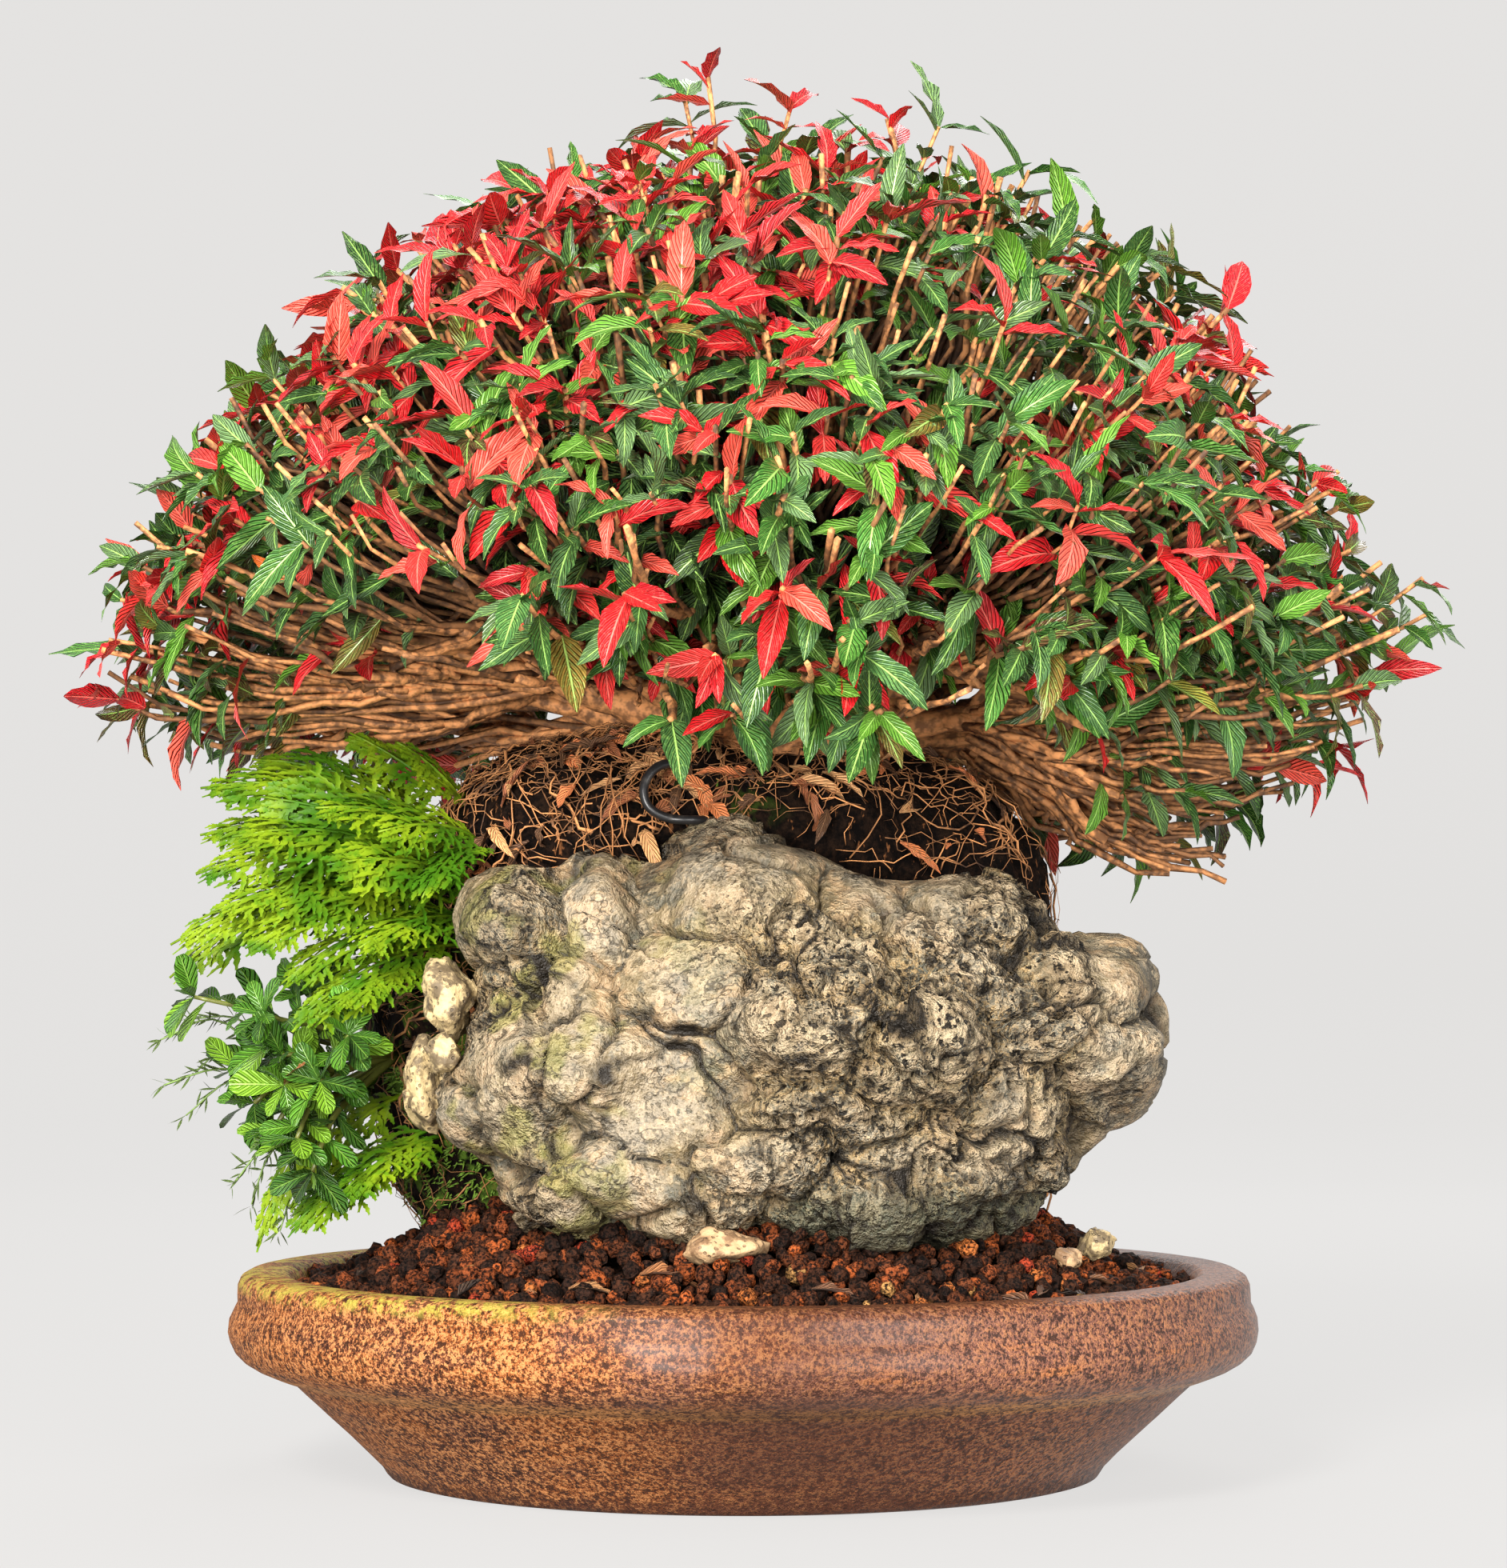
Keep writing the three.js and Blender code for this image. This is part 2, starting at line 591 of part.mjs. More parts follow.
const limbDraw = seeded(19);
const crownLobes = [[crown[0], crown[1], crown[2] - 2, 25, 22, 19],
  [crown[0] - 15, crown[1] - 4, crown[2] + 1, 15, 13, 11],
  [crown[0] + 17, crown[1] - 5, crown[2] - 2, 15, 13, 11],
  [crown[0] + 2, crown[1] - 14, crown[2] + 3, 13, 10, 11]];
const crownGrid = ballGrid(5);
const crownPoints = (swell) => lumpPoints({ centre: crown, lobes: crownLobes, blend: 5,
  grid: crownGrid, swell, relief: (p) => 1.8 * field(p, 8) });
const crownOuter = crownPoints(0);
const quadWays = crownGrid.quads.map((q) => unit(sub(middleOf(q.map((i) => crownOuter[i])), crown)));
function limbRings({ wobble, reach, thick, way, turn }, swell) {
  const low = unit([way[0], way[1], Math.max(way[2], 0.03)]);
  return [[0.62, thick], [1, 3.7]].map(([share, radius], k) => {
    const centre = k ? add(crown, way, reach + swell) : add(add(crown, low, share * reach), wobble);
    const ahead = k ? way : low;
    const side = unit(cross([0, 0, 1], ahead));
    const up = cross(ahead, side);
    return [0, 1, 2, 3].map((n) => {
      const a = (Math.PI * (n + turn + 0.5)) / 2;
      const r = radius + 1.5 * swell;
      return add(add(centre, side, Math.cos(a) * r), up, Math.sin(a) * r);
    });
  });
}
function growLimb(body, limb, swell) {
  return drawOut(body, [2 * limb.face, 2 * limb.face + 1], crownGrid.quads[limb.face],
    limbRings(limb, swell), null).made;
}
function bareCrown(swell) {
  const body = { points: crownPoints(swell), faces: [] };
  crownGrid.quads.forEach(([a, b, c, d]) => body.faces.push([a, b, c], [a, c, d]));
  return body;
}
const trunkBody = bareCrown(0);
const taken = new Set();
const limbs = [];
const limbFaces = [];
cells.forEach((cell) => {
  const near = quadWays.map((w, k) => k).filter((k) => !taken.has(k) && quadWays[k][2] > -0.12)
    .sort((k, l) => dot(quadWays[l], cell.way) - dot(quadWays[k], cell.way));
  const reach = limbEnd + (limbDraw() - 0.5) * 10;
  for (let trial = 0; trial < 40; trial += 1) {
    const face = near[trial % 8];
    const wobble = [0, 0, 0].map(() => (limbDraw() - 0.5) * (2.6 + 0.3 * trial));
    const limb = { face, wobble, reach, thick: 4.8 - 0.04 * trial, way: cell.way, turn: 0 };
    const [ring] = limbRings(limb, 0);
    limb.turn = ring.indexOf(aligned(crownGrid.quads[face].map((v) => crownOuter[v]), ring)[0]);
    const start = mark(trunkBody);
    const saved = [2 * face, 2 * face + 1].map((k) => [k, trunkBody.faces[k]]);
    const made = growLimb(trunkBody, limb, 0);
    if (isClear(trunkBody, start) || trial === 39) {
      taken.add(face);
      limbs.push(limb);
      limbFaces.push(made);
      break;
    }
    undo(trunkBody, start, saved);
  }
});
// Crown and limbs swelled, to cut their seat
function trunkSeat(swell) {
  const outer = crownPoints(swell);
  const pieces = limbs.map((limb) => {
    const loop = crownGrid.quads[limb.face].map((v) => outer[v]);
    const middle = middleOf(loop);
    const wide = loop.map((p) => add(p, unit(sub(p, middle)), swell));
    const inner = wide.map((p) => add(crown, sub(p, crown), 0.5));
    return skin([inner, wide, ...limbRings(limb, swell)], null, null);
  });
  return Manifold.union([finished(bareCrown(swell)), ...pieces]);
}

// Leafy shoots
function shoot(index) {
  const draw = seeded(400 + index * 13);
  const cell = cells[index];
  const away = (p) => unit(sub(p, crown));
  const aboveSkirt = (way, slack) => Math.asin(way[2]) > skirt(Math.atan2(way[0], -way[1])) - slack;
  const start = add(crown, cell.way, limbs[index].reach + 0.45);
  // Shoots of the front's lowest band also hang twigs before the crown
  const hangs = cell.share < 0.2 && Math.cos(cell.azimuth) > 0.5;
  const body = knot(start, cell.way, 3.9, 3.1, 7.5);
  const ends = [];
  for (let t = 0; t < twigsPerShoot; t += 1) {
    let best = null;
    for (let trial = 0; trial < 80; trial += 1) {
      const side = unit(cross(cell.way, [draw() - 0.5, draw() - 0.5, draw() - 0.5]));
      const way = unit(add(cell.way, side, Math.tan(0.02 + 0.36 * Math.sqrt(draw()))));
      const end = add(crown, way, domeReach(way) * (0.83 + 0.08 * draw()));
      if (!inCell(end, index, cellMargin + 3) || !aboveSkirt(way, 0.05)) continue;
      const near = Math.min(60, ...ends.map((e) => size(sub(e, end))));
      if (!best || near > best.near) best = { near, end };
    }
    if (best) ends.push(best.end);
  }
  if (hangs) {
    frontTwigs.forEach(([turn, rise, share]) => {
      const way = direction(cell.azimuth + turn, rise);
      ends.push(add(crown, way, domeReach(way) * share));
    });
  }
  // The middle end takes the knot's top, the rest the side faces they look along
  const off = (p) => sub(p, add(crown, cell.way, dot(sub(p, crown), cell.way)));
  ends.sort((a, b) => size(off(a)) - size(off(b)));
  const leafShape = {
    length: leafLength, width: leafWidth, rib: ribThickness, droop: 0.16, wave: 0.75,
    lean: (base) => add(add(away(base), [0, 0, 0.35]), [draw() - 0.5, draw() - 0.5, draw() - 0.5], 0.9),
    allowed: (p) => inCell(p, index, cellMargin) && aboveSkirt(away(p), hangs ? 0.38 : 0.12)
      && size(sub(p, crown)) < domeReach(away(p)) + 9,
  };
  const free = new Set(body.faces.map((_, k) => k).filter((k) => k > 1));
  ends.forEach((end, t) => {
    const faceWay = (k) => {
      const [a, b, c] = body.faces[k].map((v) => body.points[v]);
      return unit(cross(sub(b, a), sub(c, a)));
    };
    let made = null;
    for (let trial = 0; trial < 24 && !made; trial += 1) {
      const order = t === 0 ? [1] : [...free].sort((a, b) => dot(faceWay(b), off(end)) - dot(faceWay(a), off(end)));
      const face = order[Math.min(order.length - 1, Math.floor(trial / 8))];
      const base = middleOf(body.faces[face].map((v) => body.points[v]));
      const bend = [draw() - 0.5, draw() - 0.5, draw() - 0.4].map((v) => v * 9);
      const lift = scale(off(end), t === 0 ? 0 : 0.06);
      const middle = add(add(add(scale(base, 0.52), end, 0.48), bend), lift);
      const late = add(add(scale(middle, 0.42), end, 0.58), bend, 0.25);
      if (![middle, late].every((p) => inCell(p, index, cellMargin + 1.8))) continue;
      made = growTwig(body, face, [base, middle, late, end], [0, 1.45, 1.2, 0.95], [2], draw, leafShape);
      if (made) free.delete(face);
    }
    if (!made) return;
    const twigWay = unit(sub(end, add(crown, cell.way, limbs[index].reach)));
    const tipShape = { ...leafShape,
      along: () => add(twigWay, [draw() - 0.5, draw() - 0.5, draw() - 0.62], 2.4) };
    growLeaf(body, made.end, draw, tipShape);
    const sideShape = { ...leafShape,
      along: (normal) => add(add(scale(twigWay, 0.4), normal, 0.95),
        [draw() - 0.5, draw() - 0.5, draw() - 0.62], 1.1) };
    made.slots.forEach((slots) => slots.slice(0, 2).forEach((k) => growLeaf(body, k, draw, sideShape)));
  });
  return finished(body);
}
const shoots = cells.map((_, i) => shoot(i));

// Bare twigs leave a limb's side and run out between two neighbouring cells
function bareTwig(i, j, lift, reach, radius) {
  const middle = unit(add(cells[i].way, cells[j].way));
  const across = unit(cross(sub(cells[i].way, cells[j].way), middle));
  const up = across[2] < 0 ? scale(across, -1) : across;
  const first = limbFaces[i][1];
  const toward = unit(sub(cells[j].way, cells[i].way));
  let best = -1;
  for (let k = first; k < first + 8; k += 1) {
    if (!trunkBody.faces[k]) continue;
    const [a, b, c] = trunkBody.faces[k].map((v) => trunkBody.points[v]);
    const match = dot(unit(cross(sub(b, a), sub(c, a))), toward);
    if (best < 0 || match > best.match) best = { match, k };
  }
  if (best < 0 || best.match < 0.2) return false;
  const loop = trunkBody.faces[best.k];
  const path = [0.5, 0.62, 0.82].map((share, k) => add(crown,
    unit(add(middle, up, [0.02, 0.045, 0.05][k] * lift)), share * reach));
  const tip = add(crown, unit(add(middle, up, 0.02 * lift)), reach);
  const start = mark(trunkBody);
  const turn = limbDraw() * 2;
  const rings = path.map((p, k) => ringAround(p, middle, radius * [1.05, 1, 0.85][k], turn));
  drawOut(trunkBody, [best.k], loop, rings, tip);
  let last = loop.map((v) => trunkBody.points[v]);
  const twig = skin([last, ...rings.map((ring) => { last = aligned(last, ring); return last; })],
    null, tip);
  const others = [...shoots, wholeBall];
  if (isClear(trunkBody, start) && others.every((s) => s.minGap(twig, 1) > 0.32)) return true;
  undo(trunkBody, start, [[best.k, loop]]);
  return false;
}
function tryTwig(i, j, lift, reach) {
  for (let trial = 0; trial < 12; trial += 1) {
    const [from, to] = trial % 2 ? [j, i] : [i, j];
    if (bareTwig(from, to, lift * (1 - 0.3 * trial), reach + 12 * limbDraw(), 1.1)) return;
  }
}
const wholeBall = ballShape(0);
for (let i = 0; i < 13; i += 1) tryTwig(i, (i + 1) % 13, 1.5, 142);
for (let i = 0; i < 9; i += 1) tryTwig(13 + i, 13 + ((i + 1) % 9), -1, 130);
const trunks = finished(trunkBody);

const redShoots = [3, 8, 10, 17, 20, 26, 27];

// Spikemoss frond: one arched blade, cut to its rib into leaflets
function frond({ base, tip, arch, face, pairs, span, seed }) {
  const draw = seeded(seed);
  const way = sub(tip, base);
  const side = unit(cross(face, way));
  const up = unit(cross(way, side));
  const axis = (t) => add(add(base, way, t), up, arch * 4 * t * (1 - t));
  const rib = (t) => 0.75 * (1 - 0.55 * t);
  const points = [];
  const put = (p) => points.push(p) - 1;
  const faces = [];
  const length = size(way);
  const first = Math.max(0.14, (frondRoot + 4) / length);
  const steps = Array.from({ length: pairs + 1 }, (_, k) => first + ((1 - first) * k) / (pairs + 0.6));
  const tops = steps.map((t) => put(add(axis(t), up, rib(t))));
  const lows = steps.map((t) => put(add(axis(t), up, -rib(t))));
  const foot = [1, -1].map((s) => put(add(axis(0), up, 0.9 * s)));
  const footSides = [1, -1].map((s) => put(add(axis(0), side, 0.9 * s)));
  const end = put(axis(1));
  for (const [n, s] of [[0, 1], [1, -1]]) {
    const notches = steps.map((t) => put(add(axis(t), side, s * (0.5 + 0.5 * rib(t)))));
    const edge = (a, b, c) => faces.push(s > 0 ? [a, b, c] : [a, c, b]);
    for (let k = 0; k < pairs; k += 1) {
      const t = steps[k];
      const swell = Math.sin(Math.PI * Math.min(1, 0.2 + 0.85 * t)) ** 0.7;
      const curl = (draw() - 0.6) * 0.16;
      const leaflet = (out) => {
        const ahead = (0.62 * out) / length + 0.5 * (steps[1] - steps[0]);
        return add(add(axis(Math.min(1, t + ahead)), side, s * out), up, curl * out);
      };
      let out = span * swell * (0.82 + 0.36 * draw());
      while (out > 1.6 && lobeDistance(leaflet(out), ballLobes, 12) < 5) out *= 0.8;
      const point = put(leaflet(out));
      for (const [row, flip] of [[tops, false], [lows, true]]) {
        const tri = (a, b, c) => (flip ? edge(a, c, b) : edge(a, b, c));
        tri(row[k], notches[k], point);
        tri(row[k], point, notches[k + 1]);
        tri(row[k], notches[k + 1], row[k + 1]);
      }
    }
    const last = pairs;
    edge(tops[last], notches[last], end);
    edge(lows[last], end, notches[last]);
    edge(foot[0], footSides[n], tops[0]);
    edge(footSides[n], notches[0], tops[0]);
    edge(foot[1], lows[0], footSides[n]);
    edge(footSides[n], lows[0], notches[0]);
  }
  faces.push([foot[0], foot[1], footSides[0]], [foot[0], footSides[1], foot[1]]);
  return solid(points, faces);
}
// Surface of the root ball met from its middle towards a point
function onBall(target) {
  const way = unit(sub(target, ballCentre));
  let r = 20;
  while (r < 150 && lobeDistance(add(ballCentre, way, r), ballLobes, 12) < 0) r += 0.5;
  return add(ballCentre, way, r);
}
const frondRoot = 3;
// Each frond: where it leaves the root ball, its tip, arch, pairs of leaflets, their length
const fronds = [
  [[-84, 0, 160], [-134.7, -10, 169.6], 9, 9, 11], [[-84, 12, 164], [-124, 8, 177.5], 6, 7, 9],
  [[-78, 6, 170], [-99, 4, 184], 2, 6, 6], [[-74, 0, 168], [-86, -10, 181], 2, 5, 5.5],
  [[-84, -12, 152], [-134, -24, 148], 10, 9, 11], [[-84, -16, 146], [-139.3, -30, 130.8], 11, 10, 10],
  [[-90, 4, 144], [-142.9, -4, 122.6], 12, 10, 9.5], [[-80, -16, 140], [-112, -38, 121], 7, 7, 8],
  [[-82, -22, 127], [-101, -48, 114], 5, 6, 5.5], [[-70, -18, 158], [-77, -46, 142], 5, 5, 6.5],
  [[-85, 2, 156], [-135, -8, 158], 8, 9, 9]];
function mossFrond([near, tip, arch, pairs, span], k, face = unit([-0.25, -0.55, 0.8])) {
  const way = sub(tip, onBall(near));
  const up = unit(cross(way, unit(cross(face, way))));
  const out = unit(add(way, up, 4 * arch));
  const base = add(onBall(near), out, -frondRoot);
  const hole = stem([add(base, out, -0.8), add(base, out, frondRoot + 7)], [2.3, 2.5], 4);
  return { body: frond({ base, tip, arch, face, pairs, span, seed: 60 + k }), hole };
}

// Seedling, grass and low moss at the left of the root ball
function sprig({ foot, way, twigs, radius, leafShape, pairs, seed }) {
  const draw = seeded(seed);
  const body = knot(foot, unit(way), radius * 2.2, radius * 1.9, radius * 4);
  const free = new Set([1, 2, 3, 4, 5, 6, 7]);
  twigs.forEach((path) => {
    const end = path[path.length - 1];
    const faceWay = (k) => {
      const [a, b, c] = body.faces[k].map((v) => body.points[v]);
      return unit(cross(sub(b, a), sub(c, a)));
    };
    const order = [...free].sort((a, b) => dot(faceWay(b), sub(path[0], foot)) - dot(faceWay(a), sub(path[0], foot)));
    let made = null;
    for (let trial = 0; trial < order.length && !made; trial += 1) {
      const base = middleOf(body.faces[order[trial]].map((v) => body.points[v]));
      const radii = [0, ...path.map((_, i) => radius * (1 - (0.4 * i) / path.length))];
      made = growTwig(body, order[trial], [base, ...path], radii, pairs(path), draw);
      if (made) free.delete(order[trial]);
    }
    if (!made || !leafShape) return;
    const twigWay = unit(sub(end, path.length > 1 ? path[path.length - 2] : foot));
    const shape = { ...leafShape, allowed: leafShape.allowed ?? (() => true),
      lean: () => [(draw() - 0.5) * 0.9, -0.6 + (draw() - 0.5) * 0.7, 0.7] };
    growLeaf(body, made.end, draw, { ...shape,
      along: () => add(twigWay, [draw() - 0.5, draw() - 0.5, draw() - 0.5], 0.7) });
    made.slots.forEach((slots) => slots.forEach((k) => growLeaf(body, k, draw, { ...shape,
      along: (normal) => add(add(scale(twigWay, 0.45), normal, 0.9),
        [draw() - 0.5, draw() - 0.5, draw() - 0.5], 0.7) })));
  });
  return finished(body);
}

// Seats and cuts, so that nothing crosses
const smallBodies = smallStones.map((s) => smallStone(s, 0));
const smallSeats = smallStones.map((s) => smallStone(s, 0.45));
let ball = ballShape(0).subtract(stoneSeat).subtract(wire(seatGap))
  .subtract(trunkSeat(1));
smallSeats.forEach((s) => { ball = ball.subtract(s); });
soil = soil.subtract(stoneSeat).subtract(ballShape(0.6));
smallSeats.forEach((s) => { soil = soil.subtract(s); });
const frondBodies = fronds.map((f, k) => mossFrond(f, k));
const lowFrond = mossFrond([[-88, -14, 80], [-110, -30, 62], 3, 7, 8], 40);
const hangingMoss = mossFrond([[-92, 8, 98], [-121, -4, 56], 8, 9, 5], 41);
const seedlingFoot = add(onBall([-96, -6, 102]), unit([-1, -0.35, 0.1]), -1.6);
const seedlingHole = stem([add(seedlingFoot, [-0.9, -0.3, 0], -1), add(seedlingFoot, [-9, -3, 0.9])],
  [3.9, 3.9], 4);
const seedling = sprig({
  foot: seedlingFoot, way: [-1, -0.35, 0.1], radius: 1.05, seed: 81,
  pairs: (path) => (path.length > 3 ? [1, 2, 3] : path[0][1] < -15 ? [1, 2] : [2]),
  twigs: [
    [[-108, -12, 108], [-117, -14, 114], [-126, -16, 116], [-135, -18, 118]],
    [[-106, -17, 103], [-109, -26, 99], [-111, -35, 97]],
    [[-110, -9, 102], [-118, -7, 102], [-125, -8, 100]],
    [[-103, -14, 108], [-104, -18, 113], [-106, -22, 119]],
    [[-108, -9, 98], [-112, -10, 92], [-115, -12, 87]],
    [[-101, -22, 103], [-98, -32, 105], [-95, -40, 109]]],
  leafShape: { length: 13.5, width: 6.4, rib: 1, droop: 0.1, wave: 0.3,
    allowed: (p) => lobeDistance(p, ballLobes, 12) > 7.5 },
});
const grassFoot = add(onBall([-100, 14, 92]), unit([-1, -0.2, 0]), -2);
const grassHole = stem([add(grassFoot, [1, 0.2, 0]), add(grassFoot, [-8, -1.6, 0])], [3.2, 3.2], 4);
const grass = sprig({
  foot: grassFoot, way: [-1, -0.2, 0], radius: 0.8, seed: 91, pairs: () => [],
  twigs: [
    [[-116, 8, 100], [-132, 4, 112], [-146, 2, 107]], [[-114, 10, 92], [-128, 8, 97], [-140, 6, 88]],
    [[-112, 8, 84], [-119, 4, 78], [-123, 2, 66]], [[-116, 12, 96], [-130, 10, 104], [-138, 9, 99]]],
});

// Leaves fallen on the soil
function fallenLeaf([x, y], turn, length, width, grow) {
  const along = unit([Math.cos(turn), Math.sin(turn), 0]);
  const middle = [x, y, soilHeight(x, y) + 1.3];
  const slope = (dx, dy) => (soilHeight(x + dx, y + dy) - soilHeight(x - dx, y - dy)) / 8;
  const face = unit([-slope(4, 0), -slope(0, 4), 1]);
  const flat = unit(sub(along, scale(face, dot(along, face))));
  const base = add(middle, flat, -length / 2 - grow);
  const { rings, tip } = leafRings(base, flat, face, length + 2 * grow, width + 2 * grow,
    1.2 + 1.6 * grow, 0, 0.2);
  const foot = ringAround(base, flat, 0.5 + grow, 0).map((p) => add(p, face, 0.1));
  return skin([aligned(rings[0], foot), ...rings], null, tip);
}
const fallen = [[[-16, -88], 0.35, 16, 6], [[59, -84], 2.6, 18, 7]];
const fallenBodies = fallen.map((f) => fallenLeaf(...f, 0));
fallen.forEach((f) => { soil = soil.subtract(fallenLeaf(...f, 1.3)); });
[...frondBodies, lowFrond, hangingMoss].forEach(({ hole: cut }) => { ball = ball.subtract(cut); });
ball = ball.subtract(seedlingHole).subtract(grassHole);

place('stone', stone, 'grey_stone', colours.grey_stone);
smallStones.forEach(([name, , , slot], i) => {
  const earlier = smallSeats.slice(0, i);
  place(name, [stoneSeat, ...earlier].reduce((b, c) => b.subtract(c), smallBodies[i]), slot,
    colours[slot]);
});
place('wire_staple', wire(0), 'black_wire', colours.black_wire);
place('soil', soil, 'lava_gravel', colours.lava_gravel);
place('root_ball', ball, 'peat_roots', colours.peat_roots);
place('trunks', trunks, 'bark', colours.bark);
cells.forEach((_, i) => {
  const red = redShoots.includes(i);
  const name = `${red ? 'red' : 'green'}_shoot_${String(i + 1).padStart(2, '0')}`;
  place(name, shoots[i], red ? 'red_leaf' : 'green_leaf', red ? colours.red_leaf : colours.green_leaf);
});
frondBodies.forEach(({ body }, k) => {
  place(`spikemoss_frond_${String(k + 1).padStart(2, '0')}`, body, 'spikemoss', colours.spikemoss);
});
place('spikemoss_frond_low', lowFrond.body, 'spikemoss', colours.spikemoss);
place('spikemoss_frond_hanging', hangingMoss.body, 'spikemoss', colours.spikemoss);
place('seedling', seedling, 'seedling_leaf', colours.seedling_leaf);
place('grass_strands', grass, 'grass', colours.grass);
fallenBodies.forEach((body, i) => {
  place(`fallen_leaf_${i + 1}`, body, 'fallen_leaf', colours.fallen_leaf);
});

export default group;
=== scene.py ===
import math
import bpy
import numpy as np
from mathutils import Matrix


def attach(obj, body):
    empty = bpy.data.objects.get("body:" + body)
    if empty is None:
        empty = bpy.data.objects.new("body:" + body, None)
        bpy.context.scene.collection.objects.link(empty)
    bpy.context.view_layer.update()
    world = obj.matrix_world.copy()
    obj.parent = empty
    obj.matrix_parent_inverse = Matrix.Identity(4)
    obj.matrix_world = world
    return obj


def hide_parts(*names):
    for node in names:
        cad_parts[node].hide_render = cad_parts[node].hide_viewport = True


# Asiatic jasmine bonsai over a stone. Shapes are worked out in millimetres, +Z up,
# and put into the meshes in metres.
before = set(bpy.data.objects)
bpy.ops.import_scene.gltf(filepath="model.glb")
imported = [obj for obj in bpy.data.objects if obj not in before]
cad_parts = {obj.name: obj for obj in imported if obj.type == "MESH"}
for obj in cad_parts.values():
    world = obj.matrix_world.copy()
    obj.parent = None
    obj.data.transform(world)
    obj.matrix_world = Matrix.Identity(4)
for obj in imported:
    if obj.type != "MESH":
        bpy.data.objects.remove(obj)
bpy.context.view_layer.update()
metres = 0.001


def placed(name, data):
    made = bpy.data.objects.new(name, data)
    bpy.context.scene.collection.objects.link(made)
    return made


camera = {"place": (2.4, -1100, 131), "target": (2.4, 0, 171), "height": 392}
cameraData = bpy.data.cameras.new("camera")
cameraData.sensor_fit = "VERTICAL"
cameraData.sensor_height = 36
cameraData.lens = 36 * 1100 / camera["height"]
cameraData.clip_end = 20
cameraObject = placed("camera", cameraData)
place = np.array(camera["place"]) * metres
look = np.array(camera["target"]) * metres - place
cameraObject.location = place
cameraObject.rotation_euler = (math.pi / 2 + math.atan2(look[2], look[1]), 0, 0)
bpy.context.scene.camera = cameraObject


# Numbers and noise
def lengthOf(v):
    return np.linalg.norm(v, axis=-1, keepdims=True)


def unit(v):
    return v / np.maximum(lengthOf(v), 1e-9)


def across(a, b):
    return unit(np.cross(a, b))


def smoothstep(t):  # 3t² - 2t³, held between 0 and 1
    t = np.clip(t, 0, 1)
    return t * t * (3 - 2 * t)


def mix(a, b, t):
    return a + (b - a) * t


# Value of a lattice point from -1 to 1: its numbers times odd primes, folded twice
def lattice(i, j, k):
    h = (i * 374761393 + j * 668265263 + k * 1442695041) & 0xFFFFFFFF
    h = h.astype(np.uint64)
    h = ((h ^ (h >> np.uint64(13))) * np.uint64(1274126177)) & np.uint64(0xFFFFFFFF)
    return (h ^ (h >> np.uint64(16))).astype(float) / 4294967295 * 2 - 1


# Smooth random field: lattice values blended over each cube of the given wave
def field(p, wave, shift=(0, 0, 0)):
    q = (p + np.array(shift)) / wave
    c = np.floor(q).astype(np.int64)
    f = smoothstep(q - c)
    total = 0
    for n in range(8):
        o = (n & 1, n >> 1 & 1, n >> 2 & 1)
        w = 1
        for axis in range(3):
            w = w * (f[..., axis] if o[axis] else 1 - f[..., axis])
        total = total + w * lattice(c[..., 0] + o[0], c[..., 1] + o[1], c[..., 2] + o[2])
    return total


def fractal(p, wave, octaves):  # fields of halved wave and halved height
    return sum(field(p, wave / 2 ** n, (17 * n, 31 * n, 0)) / 2 ** n for n in range(octaves))


# Distances to the nearest and second nearest of points scattered one to a cube
def scattered(p, wave, shift=0):
    q = p / wave
    c = np.floor(q).astype(np.int64)
    first = np.full(q.shape[:-1], 9.0)
    second = first.copy()
    for n in range(27):
        o = np.array((n % 3 - 1, n // 3 % 3 - 1, n // 9 - 1))
        cell = c + o
        spot = np.stack([lattice(cell[..., 0] + shift + 57 * a, cell[..., 1] + 31 * a, cell[..., 2])
                         for a in range(3)], -1) * 0.5 + 0.5
        d = np.linalg.norm(cell + spot - q, axis=-1)
        second = np.minimum(second, np.maximum(first, d))
        first = np.minimum(first, d)
    return first, second


# Tilted planes, one to the cell of each scattered point: height over the mean, and how much
# nearer the nearest point is than the next
def flakes(p, wave, shift=0):
    q = p / wave
    c = np.floor(q).astype(np.int64)
    first = np.full(q.shape[:-1], 9.0)
    second, height = first.copy(), first * 0
    for n in range(27):
        cell = c + np.array((n % 3 - 1, n // 3 % 3 - 1, n // 9 - 1))
        drawn = np.stack([lattice(cell[..., 0] + shift + 57 * a, cell[..., 1] + 31 * a, cell[..., 2])
                          for a in range(6)], -1)
        away = q - cell - drawn[..., :3] * 0.5 - 0.5
        d = np.linalg.norm(away, axis=-1)
        second = np.minimum(second, np.maximum(first, d))
        height = np.where(d < first, np.sum(away * drawn[..., 3:], -1), height)
        first = np.minimum(first, d)
    return height, second - first


def draws(seed):
    return np.random.default_rng(seed)


# Shapes: first the distance to smoothly joined egg-shaped lobes, each x, y, z and its radii. Planes, if given
# as ways and a share of the radius, cut each egg flat.
def lobeDistance(p, lobes, blend, planes=None, share=0.9):
    d = np.full(p.shape[:-1], 1e9)
    for n, lobe in enumerate(lobes):
        centre, radii = np.array(lobe[:3]), np.array(lobe[3:])
        q = (p - centre) / radii
        k = np.linalg.norm(q, axis=-1)
        cut = k if planes is None else np.maximum(k, (q @ planes[n].T).max(-1) / share)
        e = k * (cut - 1) / np.maximum(np.linalg.norm(q / radii, axis=-1), 1e-9)
        h = np.maximum(blend - np.abs(d - e), 0) / blend
        d = np.minimum(d, e) - h * h * blend / 4
    return d


